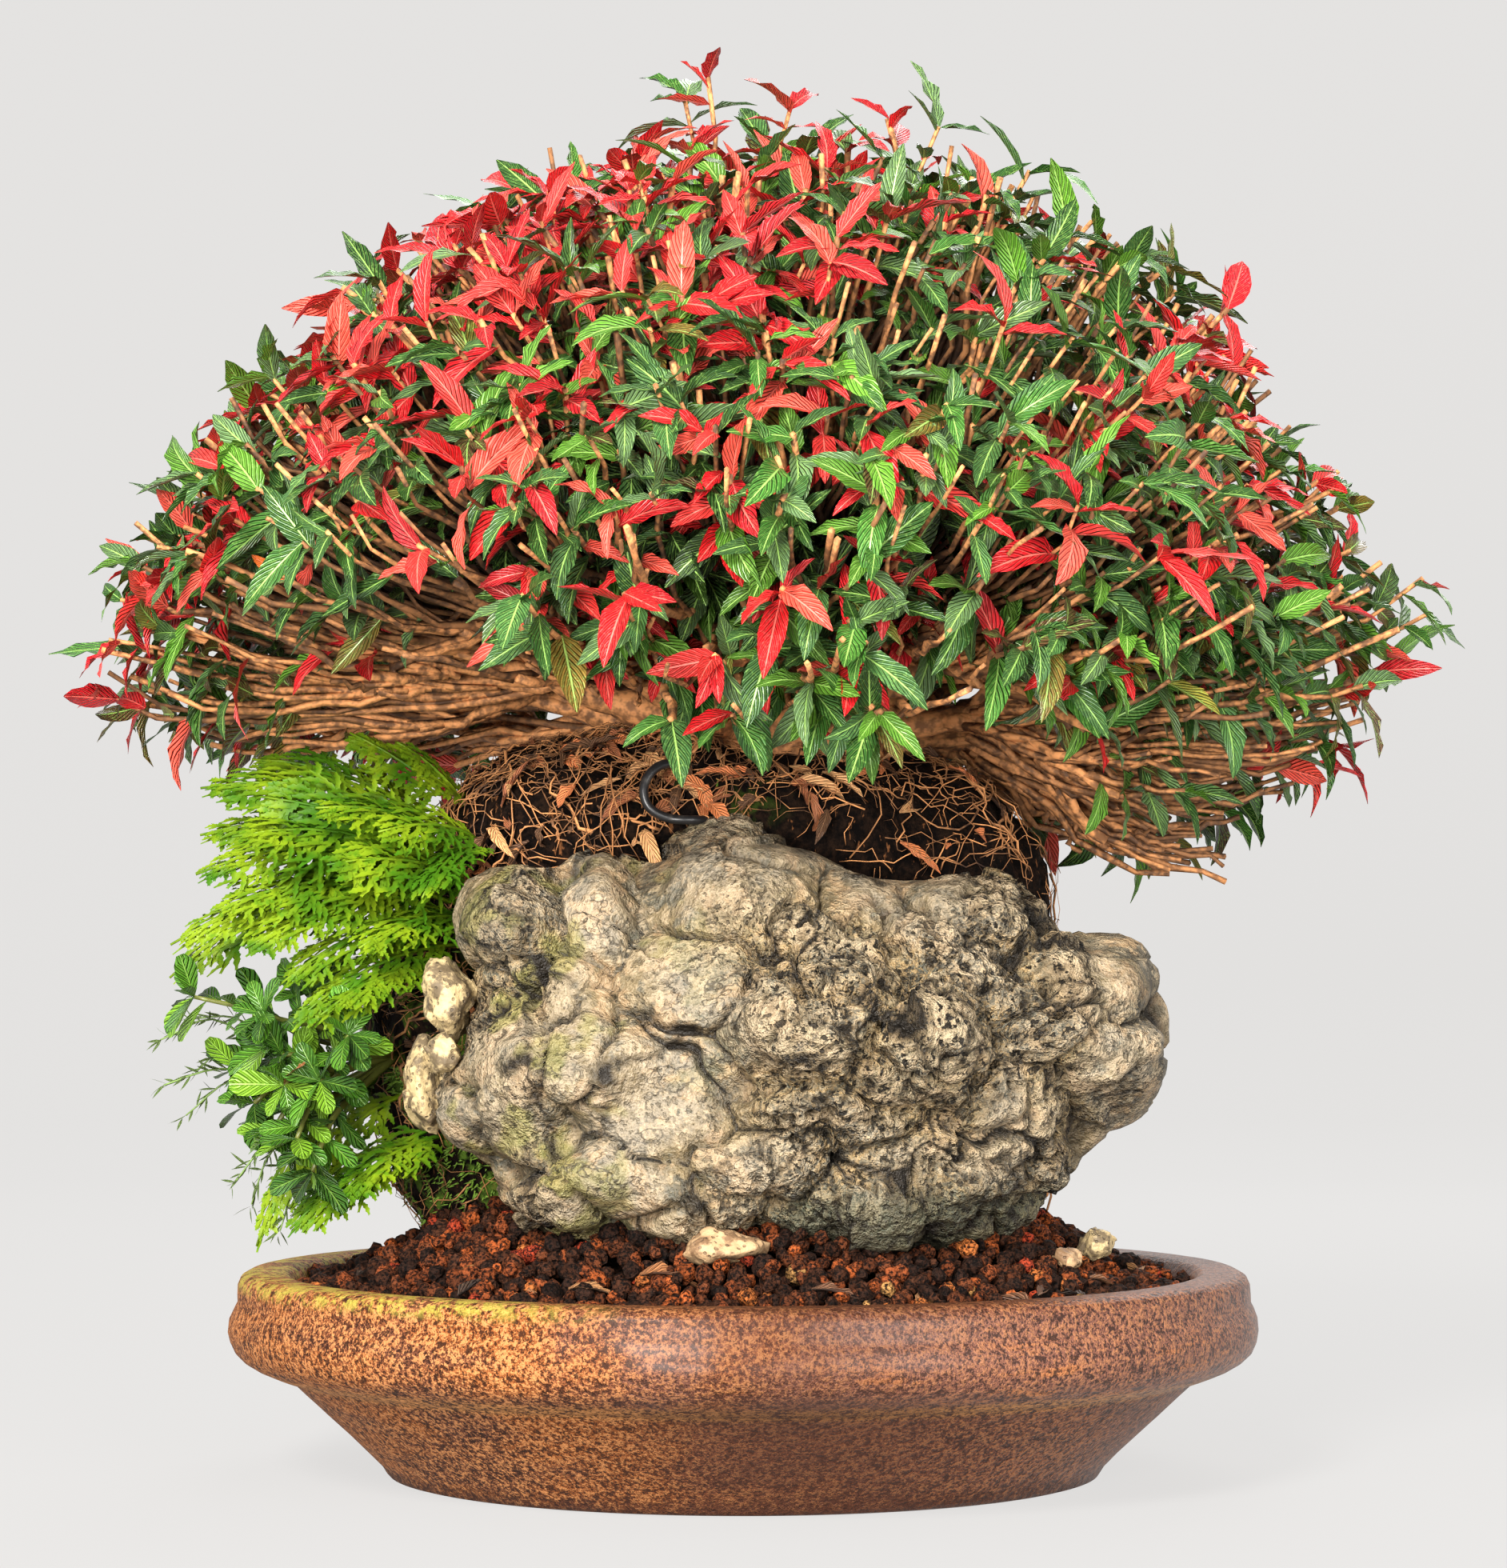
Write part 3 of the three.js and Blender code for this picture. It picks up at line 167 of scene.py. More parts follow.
# Radius at which each way from the centre leaves the lobes, found from outside inwards
def lumpReach(ways, centre, lobes, blend, start=150, step=4, planes=None, share=0.9):
    r = np.full(len(ways), float(start))
    going = np.arange(len(ways))
    while len(going):
        d = lobeDistance(centre + ways[going] * r[going, None], lobes, blend, planes, share)
        going = going[(d > 0) & (r[going] > step)]
        r[going] -= step
    low, high = r, r + step
    for _ in range(7):
        middle = (low + high) / 2
        out = lobeDistance(centre + ways * middle[:, None], lobes, blend, planes, share) > 0
        high = np.where(out, middle, high)
        low = np.where(out, low, middle)
    return low


# Squares between rows of points, for several such skins, the rows closed to rings or not
def gridQuads(rows, columns, count=1, closed=False):
    n, i, j = np.meshgrid(np.arange(count), np.arange(rows - 1), np.arange(columns - (not closed)),
                          indexing="ij")
    row = (n * rows + i) * columns
    a, b = row + j, row + (j + 1) % columns
    return np.stack([a, b, b + columns, a + columns], -1).reshape(-1, 4)


roundSides = 96


# Points of a profile of radii and heights, turned round the upright axis
def turned(profile, sides):
    a = np.arange(sides) * 2 * math.pi / sides
    r, z = profile[:, :1], profile[:, 1:]
    return np.stack(np.broadcast_arrays(r * np.cos(a), r * np.sin(a), z), -1)


def flatTo(v, normal):  # the part of each way that lies square to the normal
    return unit(v - normal * np.sum(v * normal, -1, keepdims=True))


# Cube grid blown up to a ball: n by n squares a side, its edges welded
def sphereGrid(n):
    t = np.tan(np.linspace(-1, 1, n + 1) * math.pi / 4)
    u, v = np.meshgrid(t, t, indexing="ij")
    one = np.ones_like(u)
    sides = [(one, u, v), (-one, v, u), (v, one, u), (u, -one, v), (u, v, one), (v, u, -one)]
    points = np.concatenate([np.stack(side, -1).reshape(-1, 3) for side in sides])
    _, first, where = np.unique(np.round(points * 1e5).astype(np.int64), axis=0,
                                return_index=True, return_inverse=True)
    return unit(points[first]), where.ravel()[gridQuads(n + 1, n + 1, 6)[:, [0, 3, 2, 1]]]


# Normals of a closed skin: the cross products of each square's diagonals, summed at its points
def skinNormals(points, quads):
    face = np.cross(points[quads[:, 2]] - points[quads[:, 0]], points[quads[:, 3]] - points[quads[:, 1]])
    total = np.zeros_like(points)
    for corner in range(4):
        np.add.at(total, quads[:, corner], face)
    return unit(total)


# Tubes along paths: at each station a ring round the path, closed by a flat face at both ends
def tubes(paths, radii, sides, ref=None):
    count, stations = paths.shape[:2]
    tangent = unit(np.gradient(paths, axis=1))
    if ref is None:
        ref = np.where(np.abs(tangent[:, :1, 2:]) > 0.8, np.array([1.0, 0, 0]), np.array([0, 0, 1.0]))
        ref = np.broadcast_to(ref, tangent.shape)
    side = across(ref, tangent)
    up = np.cross(tangent, side)
    a = np.arange(sides) * 2 * math.pi / sides
    ring = side[:, :, None] * np.cos(a)[:, None] + up[:, :, None] * np.sin(a)[:, None]
    points = (paths[:, :, None] + ring * radii[:, :, None, None]).reshape(-1, 3)
    base = np.arange(count)[:, None] * stations * sides
    ends = np.concatenate([base + np.arange(sides)[::-1], base + (stations - 1) * sides + np.arange(sides)])
    return points, gridQuads(stations, sides, count, True), ends


# Points on cubic curves through four guides each, at t from 0 to 1
def curveAt(guides, t):
    a, b, c, d = (guides[:, None, n] for n in range(4))
    t = t[..., None] if t.ndim == 2 else t[None, :, None]
    return a * (1 - t) ** 3 + 3 * b * t * (1 - t) ** 2 + 3 * c * t * t * (1 - t) + d * t ** 3


# Smooth path through given points, by the cubic that passes its neighbours' chords
def smoothPath(points, count):
    points = np.array(points, float)
    ends = np.vstack([2 * points[0] - points[1], points, 2 * points[-1] - points[-2]])
    t = np.linspace(0, len(points) - 1, count)
    k = np.minimum(t.astype(int), len(points) - 2)
    f = (t - k)[:, None]
    p0, p1, p2, p3 = ends[k], ends[k + 1], ends[k + 2], ends[k + 3]
    return 0.5 * (2 * p1 + (p2 - p0) * f + (2 * p0 - 5 * p1 + 4 * p2 - p3) * f ** 2
                  + (3 * p1 - p0 - 3 * p2 + p3) * f ** 3)


# Blades: each runs along its way and bends away from its face as an arc, is as wide as a
# spear head, folds up from its rib and waves at its edges
def blades(base, way, face, length, width, bend, fold, wave, phase, rows=7, round=0.6, taper=0.95):
    count = len(base)
    face = flatTo(face, way)
    side = np.cross(face, way)
    s = np.linspace(0, 1, rows)
    w = np.array([-1, -0.5, 0, 0.5, 1])
    shape = (s + 0.012) ** round * (1.015 - s) ** taper
    shape = shape / shape.max()
    turn = bend[:, None] * s
    soft = np.where(np.abs(bend) < 0.02, 0.02, bend)[:, None]
    ahead = np.sin(soft * s) / soft * length[:, None]
    down = (1 - np.cos(soft * s)) / soft * length[:, None]
    half = 0.5 * width[:, None, None] * shape[:, None] * np.ones(5)
    out = half * w
    ripple = wave[:, None, None] * np.sin(2 * math.pi * 2.6 * s[:, None] + phase[:, None, None]
                                          + 2.1 * (w > 0))
    lift = np.abs(out) * np.sin(fold)[:, None, None] + ripple * shape[:, None] * w ** 2
    out = out * np.cos(fold)[:, None, None]
    bent = face[:, None] * np.cos(turn)[..., None] + way[:, None] * np.sin(turn)[..., None]
    spine = base[:, None] + way[:, None] * ahead[..., None] - face[:, None] * down[..., None]
    points = spine[:, :, None] + side[:, None, None] * out[..., None] + bent[:, :, None] * lift[..., None]
    uv = np.stack(np.broadcast_arrays((w + 1) / 2, s[:, None]), -1)
    uv = np.broadcast_to(uv, (count, rows, 5, 2)).reshape(-1, 2)
    return points.reshape(-1, 3), gridQuads(rows, 5, count), uv


bladePoints = 7 * 5  # rows of five points


def perPoint(values, repeat):
    return np.repeat(values, repeat, axis=0)


def joined(parts):  # several (points, faces) as one
    points, faces, start = [], [], 0
    for p, f in parts:
        points.append(p)
        faces += [face + start for face in f]
        start += len(p)
    return np.concatenate(points), faces


def makePiece(name, points, faces, material, replaced=(), uv=None, values=None, smooth=True):
    mesh = bpy.data.meshes.new(name)
    loops = np.concatenate([f.ravel() for f in faces]).astype(np.int32)
    sizes = np.concatenate([np.full(len(f), f.shape[1]) for f in faces])
    mesh.vertices.add(len(points))
    mesh.vertices.foreach_set("co", (points * metres).astype(np.float32).ravel())
    mesh.loops.add(len(loops))
    mesh.loops.foreach_set("vertex_index", loops)
    mesh.polygons.add(len(sizes))
    mesh.polygons.foreach_set("loop_start", np.concatenate([[0], np.cumsum(sizes)[:-1]]).astype(np.int32))
    mesh.update(calc_edges=True)
    mesh.polygons.foreach_set("use_smooth", np.full(len(sizes), smooth))
    if uv is not None:
        layer = mesh.uv_layers.new(name="bladeMap")
        layer.data.foreach_set("uv", uv[loops].astype(np.float32).ravel())
    for key, value in (values or {}).items():
        if value.ndim == 1:
            mesh.attributes.new(key, "FLOAT", "POINT").data.foreach_set("value", value.astype(np.float32))
        else:
            value = np.concatenate([value, np.ones((len(value), 1))], 1)
            mesh.attributes.new(key, "FLOAT_COLOR", "POINT").data.foreach_set(
                "color", value.astype(np.float32).ravel())
    piece = placed(name, mesh)
    mesh.materials.append(material)
    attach(piece, "root")
    if replaced:
        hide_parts(*replaced)
    print(name, int((sizes - 2).sum()), "triangles")
    return piece


# Materials
def newMaterial(name, roughness=0.6, **settings):
    material = bpy.data.materials.new(name)
    material.use_nodes = True
    shader = material.node_tree.nodes["Principled BSDF"]
    shader.inputs["Roughness"].default_value = roughness
    for key, value in settings.items():
        shader.inputs[key].default_value = value
    return material, material.node_tree, shader


def plug(tree, value, socket):  # a wire is linked, anything else is set
    if isinstance(value, Wire):
        tree.links.new(value.socket, socket)
    else:
        socket.default_value = value


def addNode(tree, kind, inputs=None, **settings):
    node = tree.nodes.new(kind)
    for key, value in settings.items():
        setattr(node, key, value)
    for key, value in (inputs or {}).items():
        plug(tree, value, node.inputs[key])
    return node


# Output of a node, with the signs of sums and products as math nodes in its tree
class Wire:
    def __init__(self, socket):
        self.socket, self.tree = socket, socket.id_data

    def __add__(self, other):
        return calc("ADD", self, other)

    def __radd__(self, other):
        return calc("ADD", other, self)

    def __sub__(self, other):
        return calc("SUBTRACT", self, other)

    def __rsub__(self, other):
        return calc("SUBTRACT", other, self)

    def __mul__(self, other):
        return calc("MULTIPLY", self, other)

    def __truediv__(self, other):
        return calc("DIVIDE", self, other)

    def __rtruediv__(self, other):
        return calc("DIVIDE", other, self)

    def __abs__(self):
        return calc("ABSOLUTE", self)


def treeOf(*values):
    return next(v.tree for v in values if isinstance(v, Wire))


def calc(operation, a, b=0.0):
    return Wire(addNode(treeOf(a, b), "ShaderNodeMath", {0: a, 1: b}, operation=operation).outputs[0])


def between(value, low, high):  # 0 below low, 1 above high, smooth between
    return Wire(addNode(value.tree, "ShaderNodeMapRange", {"Value": value, "From Min": low, "From Max": high},
                        interpolation_type="SMOOTHSTEP").outputs["Result"])


def blend(factor, a, b, kind="MIX"):
    a, b = ((*v, 1) if isinstance(v, tuple) else v for v in (a, b))
    return Wire(addNode(treeOf(factor, a, b), "ShaderNodeMix", {0: factor, 6: a, 7: b}, data_type="RGBA",
                        blend_type=kind).outputs[2])


def layered(colour, *layers):  # colours laid one over the other, each with its mask
    for mask, over in layers:
        colour = blend(mask, colour, over)
    return colour


def objectPoint(tree):
    return Wire(addNode(tree, "ShaderNodeTexCoord").outputs["Object"])


def splitUp(vector):
    return [Wire(v) for v in addNode(vector.tree, "ShaderNodeSeparateXYZ", {0: vector}).outputs]


def noiseAt(vector, size, detail=3.0, roughness=0.55, stretch=None):  # size in mm
    tree = vector.tree
    if stretch:
        vector = Wire(addNode(tree, "ShaderNodeMapping", {"Vector": vector, "Scale": stretch}).outputs[0])
    return Wire(addNode(tree, "ShaderNodeTexNoise", {"Vector": vector, "Scale": 1000 / size, "Detail": detail,
                                                     "Roughness": roughness}).outputs["Fac"])


def attribute(tree, name, output="Fac"):
    return Wire(addNode(tree, "ShaderNodeAttribute", attribute_name=name).outputs[output])


def dress(shader, colour, height, distance, strength=1.0):  # colour, and height over a distance in mm
    plug(colour.tree, colour, shader.inputs["Base Color"])
    node = addNode(height.tree, "ShaderNodeBump", {"Height": height, "Distance": distance * metres,
                                                   "Strength": strength})
    plug(height.tree, Wire(node.outputs[0]), shader.inputs["Normal"])


# Group of nodes with named sockets: inputs and outputs are (name, kind, start value)
def newGroup(name, inputs, outputs):
    group = bpy.data.node_groups.new(name, "ShaderNodeTree")
    for label, kind, value in inputs:
        socket = group.interface.new_socket(label, in_out="INPUT", socket_type=kind)
        if value is not None:
            socket.default_value = value
    for label, kind in outputs:
        group.interface.new_socket(label, in_out="OUTPUT", socket_type=kind)
    given = {s.name: Wire(s) for s in group.nodes.new("NodeGroupInput").outputs if s.name}
    return group, given, group.nodes.new("NodeGroupOutput").inputs


def useGroup(tree, group, inputs):
    return {s.name: Wire(s) for s in addNode(tree, "ShaderNodeGroup", inputs, node_tree=group).outputs}


# Veins of a blade: a midrib where u is 0.5, side veins that slant forward from it, and a
# height that swells between them
leafVeins, given, result = newGroup("leafVeins", [
    ("Vector", "NodeSocketVector", None), ("Pairs", "NodeSocketFloat", 9.0),
    ("Slant", "NodeSocketFloat", 0.34)], [("Mask", "NodeSocketFloat"), ("Height", "NodeSocketFloat")])
u, v, _ = splitUp(given["Vector"])
outward = abs(u * 2.0 - 1.0)
forward = v - outward * given["Slant"]
away = abs(calc("FRACT", forward * given["Pairs"] + 20.0) - 0.5) * 2.0
rib = between(outward, 0.13, 0.05)
sideVein = between(away, 0.8, 0.99) * between(outward, 1.0, 0.3)
plug(leafVeins, calc("MAXIMUM", rib, sideVein * 0.6), result["Mask"])
plug(leafVeins, 1.0 - calc("MAXIMUM", rib, between(away, 0.2, 1.0)), result["Height"])

# Specks: spots of one size on scattered points, as a mask
specks, given, result = newGroup("specks", [
    ("Vector", "NodeSocketVector", None), ("Size", "NodeSocketFloat", 2.0),
    ("Share", "NodeSocketFloat", 0.3)], [("Mask", "NodeSocketFloat")])
cells = addNode(specks, "ShaderNodeTexVoronoi", {"Vector": given["Vector"], "Scale": 1000.0 / given["Size"]})
plug(specks, between(Wire(cells.outputs["Distance"]) / given["Share"], 1.0, 0.6), result["Mask"])


def leafMaterial(name, veinColour, veinShare, roughness, pairs):
    material, tree, shader = newMaterial(name, roughness)
    uv = Wire(addNode(tree, "ShaderNodeUVMap", uv_map="bladeMap").outputs[0])
    veins = useGroup(tree, leafVeins, {"Vector": uv, "Pairs": pairs})
    patch = noiseAt(objectPoint(tree), 2.6, 2)
    mottled = blend(between(patch, 0.35, 0.7) * 0.45, attribute(tree, "tint", "Color"), (0.55, 0.58, 0.45),
                    "MULTIPLY")
    net = between(abs(patch - 0.5), 0.03, 0.008)
    colour = layered(mottled, (net * (veinShare * 0.4), veinColour), (veins["Mask"] * veinShare, veinColour))
    dress(shader, colour, veins["Height"], 1.0)
    return material


def barkMaterial(name, dark, light, size, lift):  # lift: share by which a light root or twig stands out
    material, tree, shader = newMaterial(name, 0.75)
    streak = noiseAt(objectPoint(tree), size, 2, 0.65)
    # Lighter twigs and roots where tone is high; painted shade towards a near black where paintedShade is
    # high
    colour = layered(blend(between(streak, 0.35, 0.65), dark, light),
                     (attribute(tree, "tone") * lift, tuple(1.5 * c for c in light)),
                     (attribute(tree, "paintedShade") * 0.92, tuple(0.15 * c for c in dark)))
    dress(shader, colour, streak, 0.5, 0.7)
    return material


# Clump
clump = {
    "crown": (4, 6, 178), "orangeLeaf": (-112, -64, 212), "reach": 165, "limbEnd": 58, "tips": 1240,
    "innerTips": 260, "frontTips": 330, "rightTips": 50, "lowTips": (260, 70), "tipsABranch": 9,
    "bareShare": 0.24, "redCells": (3, 8, 10, 17, 20, 26, 27), "leafLength": (11.5, 22.5),
    "leafWidth": (0.30, 0.40), "limbRadius": (5.0, 2.5), "branchRadius": (1.9, 1.1),
    "twigRadius": (0.95, 0.52),
    "pairs": ((0.5, 0.95), (6.5, 0.72), (13.5, 0.46), (21.0, 0.22)),  # distance from the tip, chance
    "greens": ((0.03, 0.10, 0.016), (0.055, 0.18, 0.026), (0.12, 0.31, 0.028), (0.065, 0.17, 0.045),
               (0.13, 0.23, 0.09)),
    "bronzes": ((0.19, 0.12, 0.02), (0.12, 0.06, 0.025), (0.22, 0.19, 0.03)),
    "reds": ((0.95, 0.015, 0.02), (0.98, 0.045, 0.04), (0.82, 0.01, 0.018), (1.0, 0.10, 0.065),
             (0.62, 0.012, 0.02))}
crown = np.array(clump["crown"], float)


def fixedDraws(seed, count):  # 32-bit counter, mixed twice
    state, result = seed, []
    for _ in range(count):
        state = (state + 0x6D2B79F5) & 0xFFFFFFFF
        t = ((state ^ state >> 15) * (1 | state)) & 0xFFFFFFFF
        t = ((t + ((t ^ t >> 7) * (61 | t) & 0xFFFFFFFF)) & 0xFFFFFFFF) ^ t
        result.append((t ^ t >> 14) / 4294967296)
    return result


# Lowest rise of the leaves: high in front, low at the left and back, under level at the right
def skirt(azimuth):
    front = smoothstep((np.cos(azimuth) + 0.35) / 1.2)
    right = np.maximum(0, np.sin(azimuth)) * (1 - front)
    return (7 + 15 * front - 13 * right) * math.pi / 180


def direction(azimuth, rise):
    return np.stack([np.sin(azimuth) * np.cos(rise), -np.cos(azimuth) * np.cos(rise), np.sin(rise)], -1)


# Reach of the dome from the crown: a ball, longer at the left and right, cut in low down
def domeReach(way):
    level = np.hypot(way[..., 0], way[..., 1])
    left = smoothstep((-way[..., 0] - 0.75) / 0.25) * 12
    right = smoothstep((way[..., 0] - 0.8) / 0.2) * 5
    low = smoothstep((0.16 - way[..., 2]) / 0.3) * 30 * np.where(way[..., 0] > 0, 1, 0.6)
    return clump["reach"] + left + right + 4 * field(way * 100, 45) - low * level


cellWays = []
cellDraw = iter(fixedDraws(7, 28))
for count, share, start in ((13, 0.11, 0.1), (9, 0.42, 0.55), (5, 0.74, 0.2), (1, 1, 0)):
    for i in range(count):
        azimuth = 2 * math.pi * (i + start + 0.22 * (next(cellDraw) - 0.5)) / count
        low = skirt(azimuth)
        cellWays.append(direction(azimuth, low + share * (math.pi / 2 - low)))
cellWays = np.array(cellWays)

# Tips spread evenly over the dome on a spiral, shaken, then kept above the skirt
rng = draws(3)
count = clump["tips"] * 2
rise = np.arcsin(np.linspace(-0.12, 0.9995, count))
goldenAngle = 2.399963
azimuth = (np.arange(count) * goldenAngle) % (2 * math.pi)
tipWay = unit(direction(azimuth, rise) + rng.normal(0, 0.022, (count, 3)))
azimuth = np.arctan2(tipWay[:, 0], -tipWay[:, 1])
rise = np.arcsin(tipWay[:, 2])
kept = rise > skirt(azimuth) - 0.02 - 0.06 * rng.random(count)
tipWay, azimuth, rise = tipWay[kept], azimuth[kept], rise[kept]
tipWay = tipWay[rng.permutation(len(tipWay))[:clump["tips"] + clump["innerTips"]]]
count = len(tipWay)
inner = np.arange(count) >= count - clump["innerTips"]
depth = np.where(inner, 0.62 + 0.2 * rng.random(count), 0.87 + 0.075 * rng.random(count))
tip = crown + tipWay * (domeReach(tipWay) * depth)[:, None]
bare = (rng.random(count) < clump["bareShare"] * (1 + 0.9 * (tipWay[:, 0] > 0.2))) & ~inner
tip += tipWay * (6 * bare * rng.random(count))[:, None]


def addTips(newTip, newWay, newBare):
    old, new = (tip, tipWay, bare, inner), (newTip, newWay, newBare, np.zeros(len(newTip), bool))
    return [np.concatenate(pair) for pair in zip(old, new)]


# Stray shoots that stand out of the dome, by their tips
strays = np.array([[-9, -12, 347], [-15, -6, 343], [12, -14, 340], [36, -8, 337], [48, -24, 332],
                   [104, -30, 296], [119, -24, 287], [146, -22, 243], [169, -8, 222], [172, 6, 214],
                   [166, 10, 203], [-88, -30, 283], [-122, -20, 262], [70, -30, 320]], float)
tip, tipWay, bare, inner = addTips(strays, unit(strays - crown), np.zeros(len(strays), bool))

# Short shoots that stand in front of the crown and at its sides, under the dome's skirt
frontCount = clump["frontTips"] + clump["rightTips"]
azimuth = rng.normal(0, 0.75, frontCount)
rise = rng.uniform(0.02, 0.62, frontCount) + 0.06 * np.abs(azimuth)
atRight = np.arange(frontCount) >= clump["frontTips"]
azimuth = np.where(atRight, 1.05 + 0.4 * azimuth, azimuth)
rise = np.where(atRight, 0.45 * rise, rise)
frontWay = direction(azimuth, rise)
share = rng.uniform(0.40 + 0.25 * atRight, 0.86, frontCount)
frontTip = crown + frontWay * (domeReach(frontWay) * share)[:, None]
frontTip[:, 2] += rng.uniform(0, 14, frontCount)
bareChance = np.where((azimuth < -0.4) & (rise < 0.36), 0.96, np.where(azimuth > 0.45, 0.2, 0.5))
tip, tipWay, bare, inner = addTips(frontTip, unit(frontTip - crown), rng.random(frontCount) < bareChance)

# Bare twigs that hang low at the right and run out flat under the leaves all round
lowCount, lowAtRight = clump["lowTips"]
azimuth = rng.uniform(-math.pi, math.pi, lowCount)
azimuth[:lowAtRight] = rng.normal(1.45, 0.35, lowAtRight)
rightSide = np.exp(-((azimuth - 1.4) / 0.5) ** 2)
rise = skirt(azimuth) - 0.03 - (0.07 + 0.17 * rightSide) * rng.random(lowCount)
lowWay = direction(azimuth, rise)
lowTip = crown + lowWay * (domeReach(lowWay) * mix(0.62, 0.95, rng.random(lowCount) ** 0.7)
                           * (1 - 0.16 * rightSide * rng.random(lowCount)))[:, None]
tip, tipWay, bare, inner = addTips(lowTip, lowWay, rng.random(lowCount) < 0.8 + 0.14 * rightSide)
count = len(tip)

lowRight = (tipWay[:, 0] > 0.45) & (tipWay[:, 1] < 0.3) & (tipWay[:, 2] < -0.02)
bare |= lowRight & (draws(6).random(count) < 0.8)

# Each tip belongs to the limb it is nearest to, and there to one of a few branches
cell = np.argmax(tipWay @ cellWays.T, axis=1)
limbEnd = crown + cellWays * clump["limbEnd"]
branchStart, branchEnd, branchOf = [], [], np.zeros(count, int)
for c in range(len(cellWays)):
    mine = np.flatnonzero(cell == c)
    ways = tipWay[mine]
    seeds = [0]
    for _ in range(max(1, len(mine) // clump["tipsABranch"]) - 1):
        near = np.max(ways @ ways[seeds].T, axis=1)
        seeds.append(int(np.argmin(near)))
    group = np.argmax(ways @ ways[seeds].T, axis=1)
    for g in range(len(seeds)):
        branchOf[mine[group == g]] = len(branchEnd)
        mean = unit(ways[group == g].mean(axis=0))
        branchStart.append(limbEnd[c] - cellWays[c] * rng.uniform(0, 16))
        branchEnd.append(crown + mean * rng.uniform(84, 104) + rng.normal(0, 2.5, 3))
branchStart, branchEnd = np.array(branchStart), np.array(branchEnd)


def crooked(p, wave, height):  # three smooth fields as a shift of each point
    return height * np.stack([field(p, wave, (40 * n, 9, 2)) for n in range(3)], -1)


# Limbs from the crown, branches from the limbs, twigs from the branches
s = np.linspace(0, 1, 12)
lowWays = unit(np.stack([cellWays[:, 0], cellWays[:, 1], np.maximum(cellWays[:, 2], 0.03)], -1))
guides = np.stack([crown + lowWays * 12, crown + lowWays * 30 + rng.normal(0, 2, cellWays.shape),
                   crown + lowWays * 44 + rng.normal(0, 2, cellWays.shape), limbEnd], 1)
limbPaths = curveAt(guides, s)
knots = 1 + 0.3 * field(limbPaths, 6) + 0.22 * field(limbPaths, 3)
limbs = tubes(limbPaths, mix(*clump["limbRadius"], s) * knots, 8)

s = np.linspace(0, 1, 9)
span = lengthOf(branchEnd - branchStart)
start = cellWays[cell[[np.flatnonzero(branchOf == b)[0] for b in range(len(branchEnd))]]]
guides = np.stack([branchStart, branchStart + start * span * 0.35,
                   branchEnd - unit(branchEnd - crown) * span * 0.3, branchEnd], 1)
branchPaths = curveAt(guides, s)
branchPaths[:, 1:-1] += rng.normal(0, 0.7, branchPaths[:, 1:-1].shape)
branchPaths += crooked(branchPaths, 15, 3.2) * np.sin(math.pi * s)[:, None]
branches = tubes(branchPaths, mix(*clump["branchRadius"], s) * (1 + 0.36 * field(branchPaths, 4)), 5)

s = np.linspace(0, 1, 8)
early = rng.uniform(0.1, 1, count)
twigStart = mix(branchStart[branchOf], branchEnd[branchOf], early[:, None])
heading = unit(branchEnd[branchOf] - branchStart[branchOf])
span = lengthOf(tip - twigStart)
lift = np.stack([np.zeros(count), np.zeros(count), 0.28 * (tipWay[:, 2] < 0.75)], -1)
twigWay = unit(tipWay + lift + rng.normal(0, 0.16, (count, 3)))
guides = np.stack([twigStart, twigStart + heading * span * 0.3, tip - twigWay * span * 0.34, tip], 1)
twigPaths = curveAt(guides, s)
twigSide = across(twigWay, rng.normal(0, 1, (count, 3)))
zigzag = np.where(np.arange(8) % 2, 1, -1) * np.where((s > 0.05) & (s < 0.97), 1, 0)
twigPaths += twigSide[:, None] * (zigzag * rng.uniform(0.3, 1.0, (count, 1)))[..., None]
bow = crooked(twigPaths, 17, 3.4) + crooked(twigPaths, 7, 1.3)
twigPaths += bow * (np.sin(math.pi * s) ** 0.6)[:, None]
thick = np.where(inner, 0.8, 1.0) * rng.uniform(0.8, 1.25, count)
twigRadii = mix(*clump["twigRadius"], s) * thick[:, None] * (1 + 0.3 * (np.arange(8) % 2))
twigs = tubes(twigPaths, twigRadii, 4)
twigPoints = len(s) * 4
twigTone = np.repeat(rng.random(count) ** 1.8, twigPoints)
# Painted shade: about a quarter of the twigs at random, and the low twigs at the right, are laid darker
shaded = 0.7 * (draws(5).random(count) < 0.28)
lowShade = smoothstep((tipWay[:, 0] - 0.35) / 0.3) * smoothstep((0.16 - tipWay[:, 2]) / 0.12)
shaded = np.repeat(np.maximum(shaded, lowShade * draws(4).uniform(0.1, 0.65, count)), twigPoints)

bark = barkMaterial("bark", (0.12, 0.05, 0.018), (0.68, 0.29, 0.10), 2.6, 0.25)


# Depth in the clump: 0 at the tips, 1 well inside, by distance from the crown over the reach. It sets the
# painted shade that darkens bark and leaves inside the clump
def depthIn(p):
    away = p - crown
    inside = smoothstep((0.885 - lengthOf(away)[..., 0] / domeReach(unit(away))) / 0.2)
    return inside * smoothstep((p[..., 2] - 198) / 22)


gnarl = {"grid": 30, "lobes": [[4, 6, 176, 25, 22, 19], [-11, 2, 179, 15, 13, 11], [21, 1, 176, 15, 13, 11],
                               [6, -8, 181, 13, 10, 11]]}
ways, quads = sphereGrid(gnarl["grid"])
reach = lumpReach(ways, crown, gnarl["lobes"], 5, start=60, step=2)
points = crown + ways * reach[:, None]
points += ways * (2.2 * field(points, 8) + 1.3 * np.abs(field(points, 4.2))
                  + 0.5 * field(points, 1.8))[:, None]
points, faces = joined([(points, [quads]), (limbs[0], limbs[1:]), (branches[0], branches[1:])])
